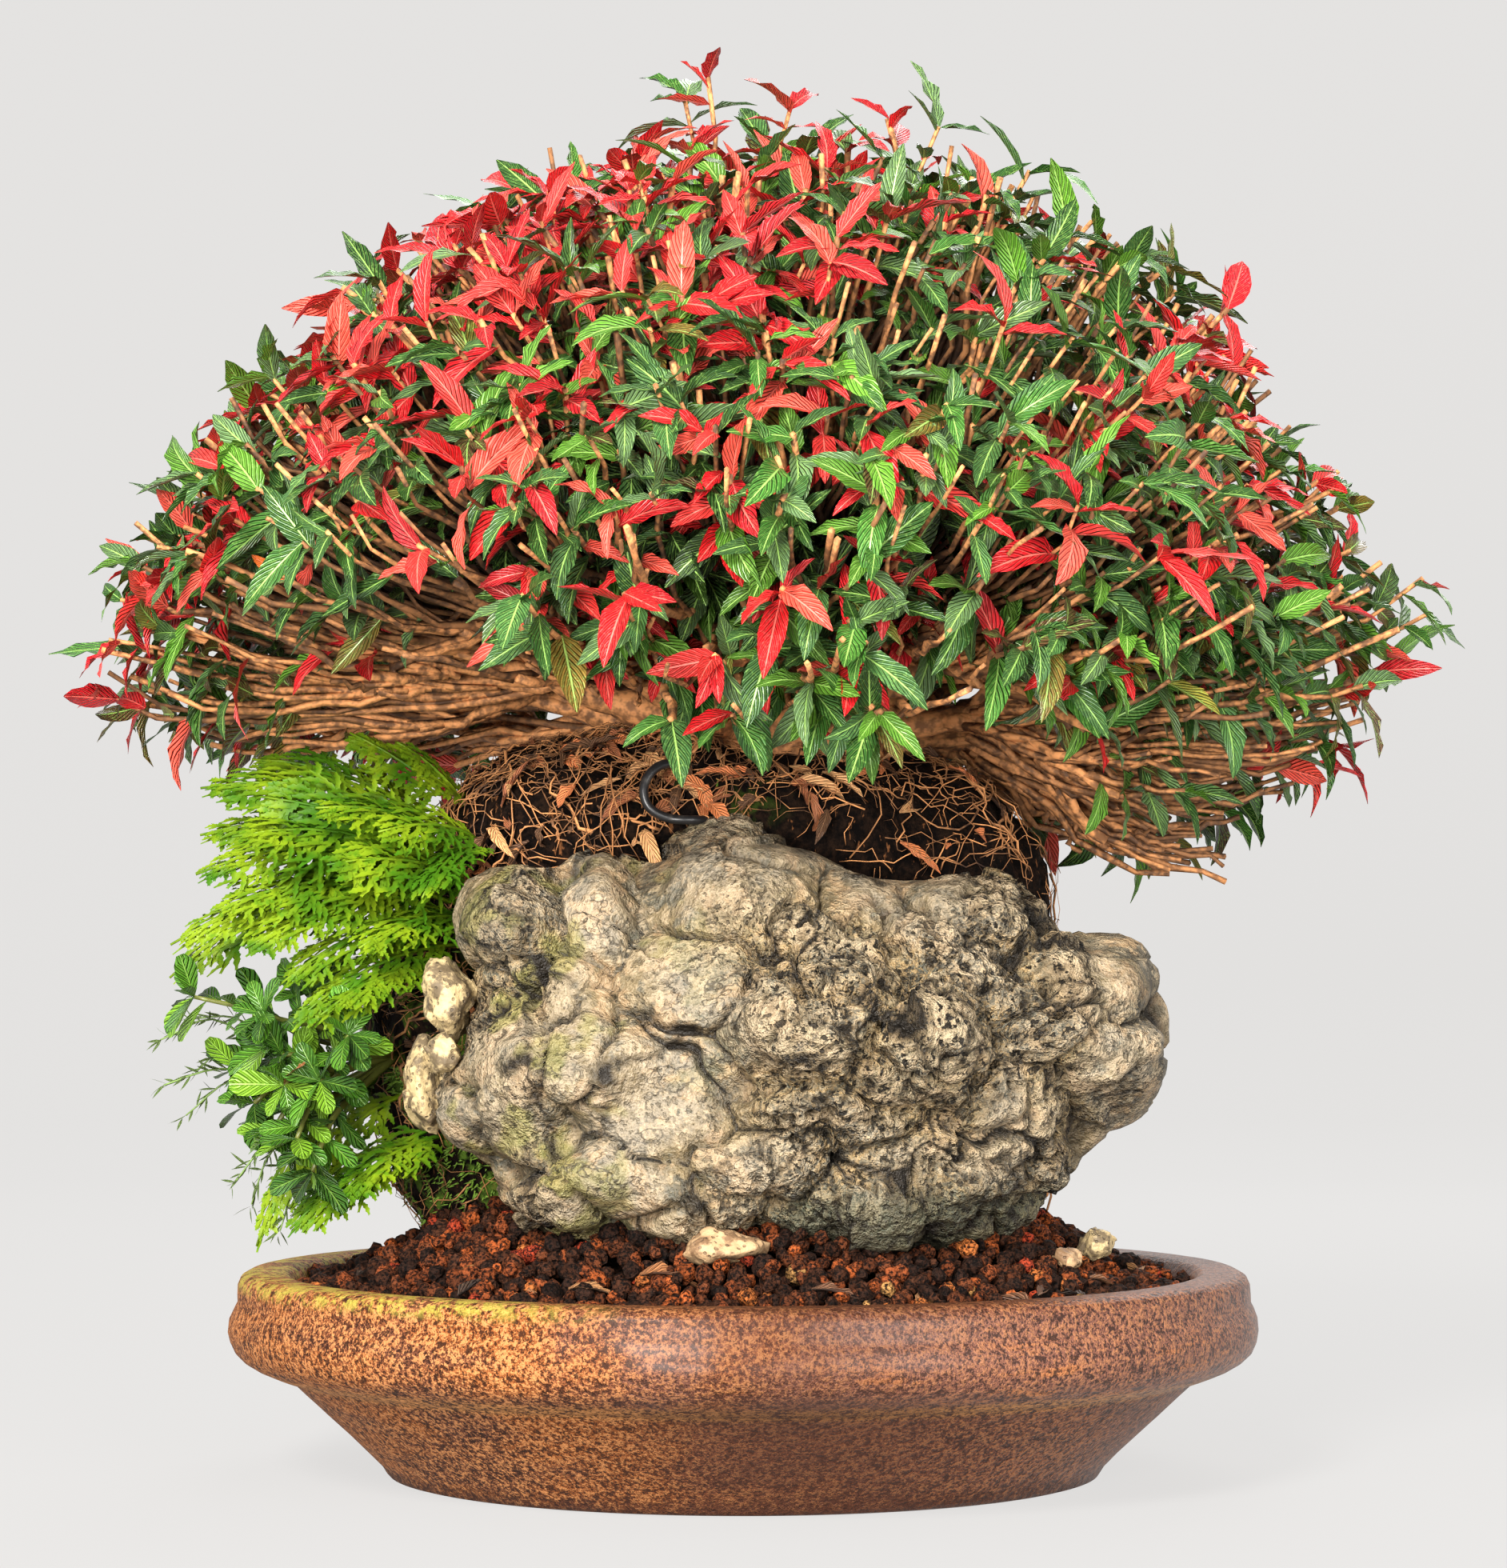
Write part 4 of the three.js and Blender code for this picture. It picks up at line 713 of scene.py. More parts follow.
# Painted shade: bark is laid darker deep in the clump, and on the twigs also where shaded is set
makePiece("trunks_bark", points, faces, bark, ["trunks"], values={"tone": smoothstep(
    0.5 + 0.7 * field(points, 9)) * 0.6, "paintedShade": 0.7 * depthIn(points)})
makePiece("twigs", twigs[0], list(twigs[1:]), bark, values={
    "tone": twigTone, "paintedShade": np.maximum(shaded, depthIn(twigs[0]))})

# Leaves sit in pairs up the last stretch of a twig, each pair a quarter turn from the one
# below, with one or two at the tip
twigLength = lengthOf(guides[:, 0] - guides[:, 3])[:, 0]
leafTwig, leafBack, leafTurn, leafIsTip = [], [], [], []
for pair, (back, chance) in enumerate(clump["pairs"]):
    for half in range(2):
        on = np.flatnonzero((rng.random(count) < chance * np.where(inner, 0.6, 1)) & ~bare)
        leafTwig.append(on)
        leafBack.append(back + rng.uniform(0, 3, len(on)))
        leafTurn.append(on * 2.4 + pair * math.pi / 2 + half * math.pi + rng.normal(0, 0.35, len(on)))
        leafIsTip.append(np.full(len(on), pair == 0))
on = np.flatnonzero(~bare & (rng.random(count) < 0.55))
leafTwig.append(on)
leafBack.append(np.zeros(len(on)))
leafTurn.append(rng.uniform(0, 6.28, len(on)))
leafIsTip.append(np.full(len(on), True))
leafTwig, leafBack, leafTurn, leafIsTip = map(np.concatenate, (leafTwig, leafBack, leafTurn, leafIsTip))
count = len(leafTwig)
t = (1 - leafBack / np.maximum(twigLength[leafTwig], 25))[:, None]
base = curveAt(guides[leafTwig], t)[:, 0]
stem = unit(base - curveAt(guides[leafTwig], t - 0.05)[:, 0])
sideA = across(stem, np.array([0.3, 0.2, 1.0]))
sideB = np.cross(stem, sideA)
sideways = sideA * np.cos(leafTurn)[:, None] + sideB * np.sin(leafTurn)[:, None]
outwards = unit(base - crown)
spread = np.where(leafIsTip, 0.55, 1.0) * rng.uniform(0.75, 1.2, count)
droop = np.array([0, 0, -1.0]) * rng.uniform(0.1, 0.75, (count, 1)) * (1 - 0.5 * outwards[:, 2:])
leafWay = unit(0.55 * stem + spread[:, None] * sideways + 0.12 * outwards + droop)
leafFace = unit(outwards * 0.9 + np.array([0, 0, 0.45]) + rng.normal(0, 0.38, (count, 3)))
length = rng.uniform(*clump["leafLength"], count) * np.where(leafIsTip, 0.92, 1.0)
length = np.where(inner[leafTwig], length * 0.85, length)
width = length * rng.uniform(*clump["leafWidth"], count)

# Red in whole shoots, most at the upper left of the front and in the red cells
topLeft = np.array([-0.28, -0.42, 0.86])
nearTop = smoothstep((tipWay @ unit(topLeft) - 0.8) / 0.18)
redChance = 0.11 + 0.20 * np.isin(cell, clump["redCells"]) + 0.42 * nearTop
redChance += 0.26 * (field(tipWay * 100, 26) > 0.05)
redChance *= smoothstep((tipWay[:, 2] + 0.05) / 0.35) * 0.9 + 0.1
redTwig = rng.random(len(tip)) < redChance
isRed = np.where(redTwig[leafTwig], rng.random(count) < np.where(leafBack < 9, 0.9, 0.45),
                 rng.random(count) < 0.05)
isRed &= ~inner[leafTwig]


def tints(colours, count, spreadOf):  # picks a colour for each and shakes its lightness
    picked = np.array(colours)[rng.integers(0, len(colours), count)]
    return picked * rng.uniform(1 - spreadOf, 1 + spreadOf, (count, 1))


tint = tints(clump["greens"], count, 0.3)
# Bronze tints: some at random and at the right are the leaves' own colour; on the low left rim they are
# painted shade for leaves seen from below against the light
shadedLowLeft = smoothstep((0.32 - outwards[:, 2]) / 0.25) * smoothstep((-outwards[:, 0] - 0.55) / 0.3)
bronze = rng.random(count) < 0.05 + 0.45 * shadedLowLeft + 0.12 * (outwards[:, 0] > 0.6)
tint = np.where(bronze[:, None], tints(clump["bronzes"], count, 0.25), tint)
# Painted shade: leaves deep in the clump are laid darker
tint *= 1 - 0.85 * depthIn(base + leafWay * 6)[:, None]
tint = np.where(isRed[:, None], tints(clump["reds"], count, 0.14), tint)

bend = rng.uniform(0.1, 1.15, count)
fold = rng.uniform(0.12, 0.55, count)
wave = rng.uniform(0.35, 0.95, count)
greenLeaf = leafMaterial("greenLeaf", (0.34, 0.60, 0.13), 0.7, 0.34, 9.0)
redLeaf = leafMaterial("redLeaf", (1.0, 0.24, 0.18), 0.5, 0.40, 9.0)
near = np.argmin(np.linalg.norm(base - np.array(clump["orangeLeaf"]), axis=1))
isRed[near], tint[near] = True, (0.85, 0.17, 0.012)
low = cell[leafTwig] < 13
names = [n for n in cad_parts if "_shoot_" in n]
numberOf = {n: int(n[-2:]) - 1 for n in names}
greenNodes = [n for n in names if n.startswith("green")]
leafSets = [("green_leaves_low", ~isRed & low, greenLeaf, "green_leaf",
             [n for n in greenNodes if numberOf[n] < 13]),
            ("green_leaves_high", ~isRed & ~low, greenLeaf, "green_leaf",
             [n for n in greenNodes if numberOf[n] > 12]),
            ("red_leaves", isRed, redLeaf, "red_leaf", [n for n in names if n.startswith("red")])]
for name, on, material, slotName, replaced in leafSets:
    points, quads, uv = blades(base[on], leafWay[on], leafFace[on], length[on], width[on], bend[on], fold[on],
                               wave[on], rng.uniform(0, 6.28, on.sum()))
    makePiece(name, points, [quads], material, replaced, uv,
              {"tint": perPoint(tint[on], bladePoints)})

# Stone
stone = {
    "centre": (12, -42, 106), "grid": 100, "blend": 13, "planes": 22, "planeShare": 0.93,
    "lowest": -1.6,  # rise between cushions
    "relief": {"crease": 3.2, "layers": 4.4, "flake": 5.5, "chip": 2.3, "knobs": 0.9, "chips": 1.1,
               "pit": 2.0, "smallPit": 1.1},
    "lobes": [
        [13.6, -36, 107.8, 63.8, 34, 36.8], [-56.1, -35, 134.9, 12.6, 28, 16.5],
        [-35.6, -38, 139.7, 8.7, 26, 12.6], [0.1, -30, 138.8, 29.2, 36, 20.4],
        [21.0, -58, 111.2, 32.2, 38, 18.0], [44.3, -66, 108.4, 11.3, 24, 11.3],
        [-35.4, -45, 100.3, 28.8, 38, 17.3], [13.5, -52, 91.0, 19.1, 36, 9.5],
        [-59.8, -38, 92.4, 14.5, 28, 12.6], [-36.2, -48, 77.4, 21.0, 34, 9.6],
        [-42.1, -46, 68.7, 12.5, 28, 7.3], [-11.3, -50, 77.5, 16.2, 34, 11.5],
        [-13.2, -56, 65.5, 10.4, 22, 4.8], [34.6, -45, 69.6, 30.7, 40, 11.9],
        [50.6, -32, 133.9, 19.4, 32, 14.6], [71.5, -38, 109.8, 18.3, 34, 22.2],
        [89.5, -35, 118.4, 11.2, 24, 11.6], [90.1, -35, 101.0, 11.6, 24, 10.8],
        [74.0, -35, 79.7, 6.3, 12, 8.4], [6, -42, 84, 54, 34, 22], [40, -42, 88, 38, 34, 24],
        [-46, -37, 119, 16, 28, 13], [8, -42, 104, 66, 38, 38]],
    "cushions": [
        [-54.4, 138.3, 14.3, 13.7, 0, 4.5], [-53.8, 122.9, 13.1, 6.2, 12, 3],
        [-33.1, 137.2, 9.7, 13.9, 12, 5.5], [-39, 117.6, 7.7, 14.7, -18, 4.5],
        [-2.9, 144.3, 23, 14.3, 0, 4], [-12.3, 121.8, 16.2, 16.8, -10, 4.5],
        [19.7, 131.8, 21.2, 7.7, -36, 6], [11.4, 113.5, 23.6, 13.9, -8, 5],
        [44.5, 111.7, 13.9, 11.8, 10, 6], [38, 100.4, 16.2, 7.2, -12, 4.5],
        [49.3, 129.5, 28.6, 7.7, -36, 6], [54, 140.7, 18.7, 9, -18, 4.5],
        [80.7, 122.9, 18.7, 13.4, -12, 5], [87.8, 102.2, 13.7, 11.4, 22, 5],
        [62.9, 101.6, 8.2, 21.8, -18, 4.5], [-54.4, 101, 15.6, 18.7, 8, 5],
        [-37.2, 106.3, 10.6, 14.9, -10, 5], [-21.8, 95.7, 18.7, 18.7, -14, 6],
        [-66.9, 90.3, 6.5, 11.4, 10, 4], [3.1, 81.5, 18.9, 10.2, -8, 5], [19.7, 90.9, 23.6, 8, -6, 5],
        [-27.7, 76.7, 13.9, 9.5, -12, 5], [-43.2, 70.2, 15.2, 7.7, -12, 4.5],
        [-14.1, 66.6, 15.2, 5.7, -6, 4], [23.8, 66.6, 21.4, 10.2, 0, 5], [41, 81.5, 20.5, 6, 10, 4.5],
        [58.8, 82.1, 13.9, 9.5, 36, 4.5], [72.4, 79.7, 8, 7.5, 20, 4], [-2.9, 69, 11.2, 6.2, 12, 4],
        [75.3, 109.9, 14.9, 6.2, 32, 4.5], [-12.3, 107.5, 13.7, 7.5, -24, 3.5],
        [31.5, 143.1, 14.9, 8.7, -30, 4.5], [6.6, 153.7, 21.2, 6.2, -6, 4],
        [69.4, 90.9, 7.5, 13.7, -25, 4]]}
centre = np.array(stone["centre"], float)


# Rise of the highest and next highest cushion at each point, each cushion a dome over a
# turned oval with five flattened sides: x, z, its half sizes, its turn in degrees and its
# height, flat on top and steep at its edge
def cushionRise(p, cushions):
    first = np.full(len(p), stone["lowest"])
    second = first.copy()
    for x, z, wide, high, turn, height in cushions:
        c, s = math.cos(math.radians(turn)), math.sin(math.radians(turn))
        u = ((p[:, 0] - x) * c + (p[:, 2] - z) * s) / wide
        v = ((p[:, 2] - z) * c - (p[:, 0] - x) * s) / high
        sides = (x + z) % 1 * 6 + np.arange(5) * 2 * math.pi / 5
        flat = (u[:, None] * np.cos(sides) + v[:, None] * np.sin(sides)).max(-1) / 0.86
        rise = height * (1 - (0.4 * np.hypot(u, v) + 0.6 * flat) ** 3.2)
        second = np.maximum(second, np.minimum(first, rise))
        first = np.maximum(first, rise)
    return first, second


ways, quads = sphereGrid(stone["grid"])
planes = unit(draws(8).normal(0, 1, (len(stone["lobes"]), stone["planes"], 3)))
reach = lumpReach(ways, centre, stone["lobes"], stone["blend"], planes=planes, share=stone["planeShare"])
points = centre + ways * reach[:, None]
points += ways * (1.2 * field(points, 27) - 1.2)[:, None]
normal = skinNormals(points, quads)
warp = points + 4 * np.stack([field(points, 17, (n * 50, 0, 0)) for n in range(3)], -1)
warp += 1.8 * np.stack([field(points, 6, (n * 30, 4, 0)) for n in range(3)], -1)
# Rough on the snout and right of it, smoother on the left lobes and at the right end
snout = np.exp(-np.sum(((points - np.array([22, -88, 112])) / np.array([34, 40, 24])) ** 2, -1))
roughness = np.clip(smoothstep(0.38 + 0.8 * field(points, 24, (5, 5, 5)) + 0.8 * snout
                               + 0.35 * smoothstep((points[:, 0] - 34) / 10)
                               - 0.75 * smoothstep((points[:, 0] - 72) / 12)), 0.06, 1)
# Cushions with sharp creases between: placed in front, scattered elsewhere
first, second = cushionRise(warp, stone["cushions"])
near, far = scattered(warp, 27, 5)
front = smoothstep((-normal[:, 1] - 0.05) / 0.3)
rise = mix(5 * (1 - (near / 0.75) ** 2), first, front)
nextRise = mix(5 * (1 - (far / 0.75) ** 2), second, front)
rise = np.maximum(rise, stone["lowest"])
crease = smoothstep(1 - (rise - nextRise) / 1.2) * smoothstep((nextRise + 1.9) / 0.8)
# Layers that run down to the right above, up to the right below, right of the snout
slant = np.where(points[:, 2] > 104, -0.62, 0.55)
layerAcross = points[:, 2] * np.cos(slant) - warp[:, 0] * np.sin(slant)
layerAlong = warp[:, 0] * np.cos(slant) + points[:, 2] * np.sin(slant)
layers = np.abs(field(np.stack([layerAlong * 0.25, warp[:, 1] * 0.5, layerAcross], -1), 8.5, (1, 2, 3)))
rightEnd = smoothstep((points[:, 0] - 22) / 26)
knobs = np.abs(field(warp, 10, (2, 7, 4)))
chips = np.abs(field(warp * np.array([0.8, 1, 1.5]), 5, (3, 8, 1)))
# Broken faces: large and small flakes, the small ones only where it is rough
flake, flakeGap = flakes(warp, 21, 3)
chip, chipGap = flakes(warp, 8, 9)
near, far = scattered(warp, 5.6)
pit = smoothstep(1 - near / 0.44) * smoothstep(roughness * 1.6 - 0.3)
near, far = scattered(warp, 3.1, 11)
smallPit = smoothstep(1 - near / 0.5) * smoothstep(roughness * 1.3 - 0.1)
relief = stone["relief"]
shove = 0.75 * np.minimum(rise, 5) - relief["crease"] * crease - 0.6
shove += relief["layers"] * rightEnd * (np.minimum(layers, 0.4) - 0.2)
shove += relief["flake"] * (0.3 + 0.7 * roughness) * flake
shove += relief["chip"] * np.clip(roughness * 1.3 - 0.15, 0, 1) * front * chip
shove += relief["knobs"] * roughness * np.minimum(knobs, 0.45)
shove += relief["chips"] * roughness * np.minimum(chips, 0.4) + 0.5 * (0.4 + roughness) * field(points, 2.8)
shove -= relief["pit"] * pit + relief["smallPit"] * smallPit + 0.5
points = points + normal * shove[:, None]
# Painted shade: a near black laid in the creases between cushions, the gaps between flakes and chips, the
# layer lines and the pits
cavityShade = 0.95 * crease * smoothstep(0.75 + field(points, 20, (0, 70, 0)))
cavityShade += 0.35 * smoothstep(1 - knobs / 0.1) * roughness + 0.45 * smoothstep(1 - chips / 0.1) * roughness
cavityShade += 0.8 * smoothstep(1 - flakeGap / 0.07) * smoothstep(0.4 + field(points, 19, (8, 0, 0)) * 2.4)
chipShown = smoothstep(0.5 + field(points, 11, (8, 9, 0)) * 2)
cavityShade += 0.55 * smoothstep(1 - chipGap / 0.10) * roughness * chipShown
cavityShade = np.clip(1.3 * cavityShade + 0.45 * rightEnd * smoothstep(1 - layers / 0.09) + 0.85 * pit
                 + 0.7 * smallPit, 0, 1)
# Painted highlight: the raised tops of the cushions, away from the cavities, are laid paler
crestHighlight = smoothstep((rise - 2.0) / 2.5) * (1 - cavityShade)

rock, tree, shader = newMaterial("greyStone", 0.5, **{"Specular IOR Level": 0.35})
spot = objectPoint(tree)
large = noiseAt(spot, 26, 3)
middle = noiseAt(spot, 9, 3, 0.65)
small = noiseAt(spot, 3.6, 3, 0.75)
grit = noiseAt(spot, 1.1, 3, 0.75)
roughMask = attribute(tree, "rough")
patchy = 0.25 + roughMask * 0.75
x, y, z = splitUp(spot)
lichen = between(noiseAt(spot, 15, 2), 0.52, 0.62) * between(x, 0.01, -0.05)
damp = between(z, 0.078, 0.068) * between(x, 0.0, 0.015)
# Thin cracks along the middle level of a noise, small dark pits where fine noise runs high
crack = between(abs(noiseAt(spot, 13, 3, 0.6, (1, 1, 1.5)) - 0.5), 0.016, 0.004) * between(large, 0.42, 0.55)
pits = between(noiseAt(spot, 1.9, 2, 0.6), 0.585, 0.635) * patchy
colour = layered(blend(between(large, 0.42, 0.58), (0.285, 0.225, 0.12), (0.175, 0.16, 0.115)),
                 (between(middle, 0.52, 0.60), (0.47, 0.335, 0.185)),
                 (between(middle, 0.44, 0.36) * 0.75, (0.11, 0.12, 0.095)),
                 (between(small, 0.50, 0.62) * 0.7, (0.56, 0.45, 0.28)),
                 (between(small, 0.46, 0.37) * patchy, (0.022, 0.019, 0.012)),
                 (roughMask * between(grit, 0.44, 0.60), (0.46, 0.32, 0.15)),
                 # painted highlight on the crests
                 (attribute(tree, "crestHighlight") * (between(grit, 0.35, 0.55) * 0.4), (0.66, 0.57, 0.42)),
                 (lichen * 0.6, (0.30, 0.29, 0.06)), (damp * 0.7, (0.10, 0.12, 0.07)),
                 (crack * 0.75, (0.05, 0.042, 0.027)))
duller = blend(roughMask, (0.58, 0.55, 0.54), (0.86, 0.84, 0.84))
# painted shade in the stone's creases, gaps and pits
colour = layered(blend(1.0, colour, duller, "MULTIPLY"), (pits, (0.016, 0.012, 0.007)),
                 (attribute(tree, "cavityShade"), (0.014, 0.010, 0.006)))
dress(shader, colour, (small * 2.0 + grit * 0.55 - pits * 1.3) * patchy, 3.2)
makePiece("stone_worn", points, [quads], rock, ["stone"],
          values={"rough": roughness, "cavityShade": cavityShade, "crestHighlight": crestHighlight})

# Small stones
pebbles = {"wedge_stone_upper": [(-71, -40, 117.5), (7, 11, 10.2), 11],
           "wedge_stone_round": [(-71.5, -50, 105), (4.4, 6, 4.4), 12],
           "wedge_stone_long": [(-76.5, -36, 96.5), (5, 10, 12), 13],
           "wedge_stone_tan": [(-5, -79, 61), (9.6, 9, 5), 14],
           "soil_pebble_large": [(85.5, -32, 58.5), (5.2, 5.6, 4.2), 15],
           "soil_pebble_small": [(77.5, -46, 55.8), (3.6, 4, 3.2), 16]}


def chalkMaterial(name, pale, dark):
    material, tree, shader = newMaterial(name, 0.65)
    spot = objectPoint(tree)
    patch = noiseAt(spot, 5, 5, 0.65)
    colour = blend(between(patch, 0.44, 0.58), pale, dark)
    mask = useGroup(tree, specks, {"Vector": spot, "Size": 1.8, "Share": 0.3})["Mask"]
    colour = blend(mask * 0.6, colour, tuple(c * 0.3 for c in dark))
    dress(shader, colour, patch - mask * 0.4, 1.2, 0.8)
    return material


paleStone = chalkMaterial("paleStone", (0.48, 0.36, 0.18), (0.12, 0.085, 0.045))
tanStone = chalkMaterial("tanStone", (0.42, 0.27, 0.14), (0.17, 0.095, 0.045))
ways, quads = sphereGrid(20)
for name, (middle, radii, seed) in pebbles.items():
    planes = unit(draws(seed).normal(0, 1, (1, 9, 3)))
    reach = lumpReach(ways, np.array(middle, float), [[*middle, *(1.07 * np.array(radii))]], 1, start=30,
                      step=1, planes=planes, share=0.72)
    points = np.array(middle) + ways * reach[:, None]
    broken, _ = flakes(points, 0.9 * min(radii), seed)
    points += ways * (min(radii) * (0.24 * broken + 0.12 * field(points, 3.0, (seed, 0, 0)) - 0.03))[:, None]
    tan = name in ("wedge_stone_tan", "soil_pebble_small")
    makePiece(name + "_worn", points, [quads], tanStone if tan else paleStone,
              [name])

# Root ball
ballOf = {"centre": (-10, 26, 118), "hangingScrap": (80, -8, 142), "grid": 56, "blend": 12, "roots": 2000,
          "scraps": 330, "moss": 2600, "mossWidth": 0.42, "mossHeight": (1.2, 2.8), "lowest": 54,
          "lobes": [[-12, 26, 116, 78, 54, 56], [-48, 24, 104, 47, 46, 44],
                    [-8, 15, 160, 64, 46, 25], [-42, 20, 148, 35, 40, 28],
                    [38, 22, 146, 38, 42, 29], [36, 28, 112, 41, 50, 50],
                    [-6, 30, 70, 82, 54, 26]]}
centre = np.array(ballOf["centre"], float)


def fromBall(p):
    return lobeDistance(p, ballOf["lobes"], ballOf["blend"])


def fromStone(p):  # the stone's lobes without their flat cuts
    return lobeDistance(p, stone["lobes"], 9)


# Surface of the ball along ways from its middle, ridged as roots ridge it
def onBall(ways, lift=0.0):
    flat = ways.reshape(-1, 3)
    reach = lumpReach(flat, centre, ballOf["lobes"], ballOf["blend"], step=3)
    points = centre + flat * reach[:, None]
    rough = 2.2 * (1 - 2 * np.abs(field(points, 22))) + 1.2 * field(points, 9)
    return (points + flat * (rough + lift)[:, None]).reshape(ways.shape)


ways, quads = sphereGrid(ballOf["grid"])
points = onBall(ways)
points += ways * (1.5 * fractal(points, 5, 2) - 0.7)[:, None]
peat, tree, shader = newMaterial("peat", 0.95, **{"Specular IOR Level": 0.08})
spot = objectPoint(tree)
crumb = noiseAt(spot, 3.2, 3, 0.75)
fibre = noiseAt(spot, 2.2, 3, 0.7, (1, 1, 0.35))
colour = layered(blend(between(crumb, 0.4, 0.7), (0.002, 0.0012, 0.001), (0.014, 0.007, 0.004)),
                 (between(fibre, 0.62, 0.68) * 0.9, (0.14, 0.055, 0.02)),
                 (attribute(tree, "mossy") * between(noiseAt(spot, 7, 4), 0.5, 0.62), (0.07, 0.13, 0.015)))
dress(shader, colour, crumb + fibre, 1.3, 0.9)


def mossShare(p):  # moss lies on the ball's left flank and in spots elsewhere
    left = smoothstep((-p[..., 0] - 40) / 30) * smoothstep((135 - p[..., 2]) / 30)
    return np.clip(left * 0.9 + 0.25 * smoothstep(field(p, 24, (3, 3, 3)) * 3 - 1), 0, 1)


makePiece("root_ball_peat", points, [quads], peat, ["root_ball"],
          values={"mossy": mossShare(points)})

# Roots wander over the ball: each way turns a little at every step
rng = draws(12)
count, steps = ballOf["roots"], 9
way = unit(rng.normal(0, 1, (count, 3)) + np.array([-0.1, -0.75, 0.5]))
heading = across(way, rng.normal(0, 1, (count, 3)))
trail = []
stride = rng.uniform(0.014, 0.055, (count, 1))
for step in range(steps):
    trail.append(way)
    heading = unit(heading + rng.normal(0, 0.5, (count, 3)))
    heading = flatTo(heading, way)
    way = unit(way + heading * stride)
trail = np.stack(trail, 1)
arch = np.sin(np.linspace(0, math.pi, steps))
lift = 0.7 + 2.4 * rng.random((count, 1)) ** 2 * arch - 0.9 * (np.abs(np.linspace(-1, 1, steps)) > 0.9)
paths = onBall(trail, lift.ravel()) + rng.normal(0, 0.55, (count, steps, 3))
# They keep clear of the stone and of the staple
clear = fromStone(paths.reshape(-1, 3)).reshape(count, steps).min(1) > -1.5
staplePlace = np.abs(paths - np.array([-17, -42, 167])) < np.array([8, 7, 8])
clear &= ~staplePlace.all(-1).any(1)
paths = paths[clear & (paths[:, :, 2].min(1) > ballOf["lowest"])]
count = len(paths)
rootRadius = rng.uniform(0.09, 0.22, (count, 1)) * np.where(rng.random((count, 1)) < 0.08, 2.4, 1)
mat = tubes(paths, rootRadius * np.linspace(1.2, 0.6, steps), 3, unit(paths - centre))
top = smoothstep((paths[:, 0, 2] - 120) / 45)
fineRoot = barkMaterial("fineRoot", (0.035, 0.014, 0.006), (0.46, 0.20, 0.07), 7.0, 1.0)
makePiece("root_mat", mat[0], list(mat[1:]), fineRoot,
          values={"tone": np.repeat(np.clip(rng.random(count) ** 3 * (0.5 + 0.6 * top), 0, 1), steps * 3)})

# Dead leaf scraps caught in the roots, most at the top, and the one that hangs at the right
count = ballOf["scraps"]
way = unit(rng.normal(0, 0.75, (count, 3)) + np.array([0, -0.7, 0.75]))
way[0] = unit(np.array(ballOf["hangingScrap"]) - centre)
base = onBall(way, 1.0)
keep = fromStone(base) > 2
base, way, count = base[keep], way[keep], int(keep.sum())
along = across(way, rng.normal(0, 1, (count, 3)))
points, quads, uv = blades(base, unit(along + 0.25 * way), way, rng.uniform(5, 15, count),
                           rng.uniform(2.5, 5, count), rng.uniform(0.3, 2.2, count),
                           rng.uniform(0.2, 0.9, count), rng.uniform(0.3, 1, count),
                           rng.uniform(0, 6, count))
deadLeaf = leafMaterial("deadLeaf", (0.35, 0.19, 0.09), 0.35, 0.6, 8.0)
browns = np.array([(1.0, 0.30, 0.10), (0.50, 0.16, 0.06), (1.0, 0.52, 0.22), (0.16, 0.07, 0.03)])
scrapTint = browns[rng.integers(0, 4, count)]
scrapTint[0] = (0.95, 0.16, 0.05)
makePiece("leaf_scraps", points, [quads], deadLeaf, uv=uv,
          values={"tint": perPoint(scrapTint, bladePoints)})

# Moss: short spikes in tufts where the ball is mossy
count = ballOf["moss"]
way = unit(rng.normal(0, 1, (count * 5, 3)) + np.array([-1.1, -0.7, -0.2]))
base = onBall(way, -0.3)
tufts = smoothstep(field(base, 11, (9, 2, 2)) * 2.4 + 0.2)
keep = (rng.random(len(way)) < mossShare(base) * tufts) & (base[:, 2] > 56)
keep &= fromStone(base) > 0.5
base, way = base[keep][:count], way[keep][:count]
count = len(base)
stand = unit(way + rng.normal(0, 0.45, (count, 3)))
side = across(stand, rng.normal(0, 1, (count, 3)))
other = np.cross(stand, side)
a = np.arange(3) * 2 * math.pi / 3
ring = side[:, None] * np.cos(a)[:, None] + other[:, None] * np.sin(a)[:, None]
peak = base + stand * rng.uniform(*ballOf["mossHeight"], (count, 1))
points = np.concatenate([base[:, None] + ring * ballOf["mossWidth"], peak[:, None]], 1)
k = np.arange(count)[:, None] * 4
tris = np.concatenate([k + np.array([0, 1, 3]), k + np.array([1, 2, 3]), k + np.array([2, 0, 3]),
                       k + np.array([0, 2, 1])])
moss, tree, shader = newMaterial("moss", 0.7)
colour = blend(noiseAt(objectPoint(tree), 6), (0.05, 0.13, 0.01), (0.22, 0.36, 0.03))
plug(tree, colour, shader.inputs["Base Color"])
makePiece("moss", points.reshape(-1, 3), [tris], moss)

# Soil
soilOf = {"edge": 110.5, "edgeHeight": 46.6, "rise": 19, "slope": 50, "pitch": 4.0, "grain": (1.6, 2.8),
          "wall": 112.2}


def soilHeight(x, y):
    inward = soilOf["edge"] - np.hypot(x, y)
    return soilOf["edgeHeight"] + soilOf["rise"] * smoothstep(inward / soilOf["slope"])


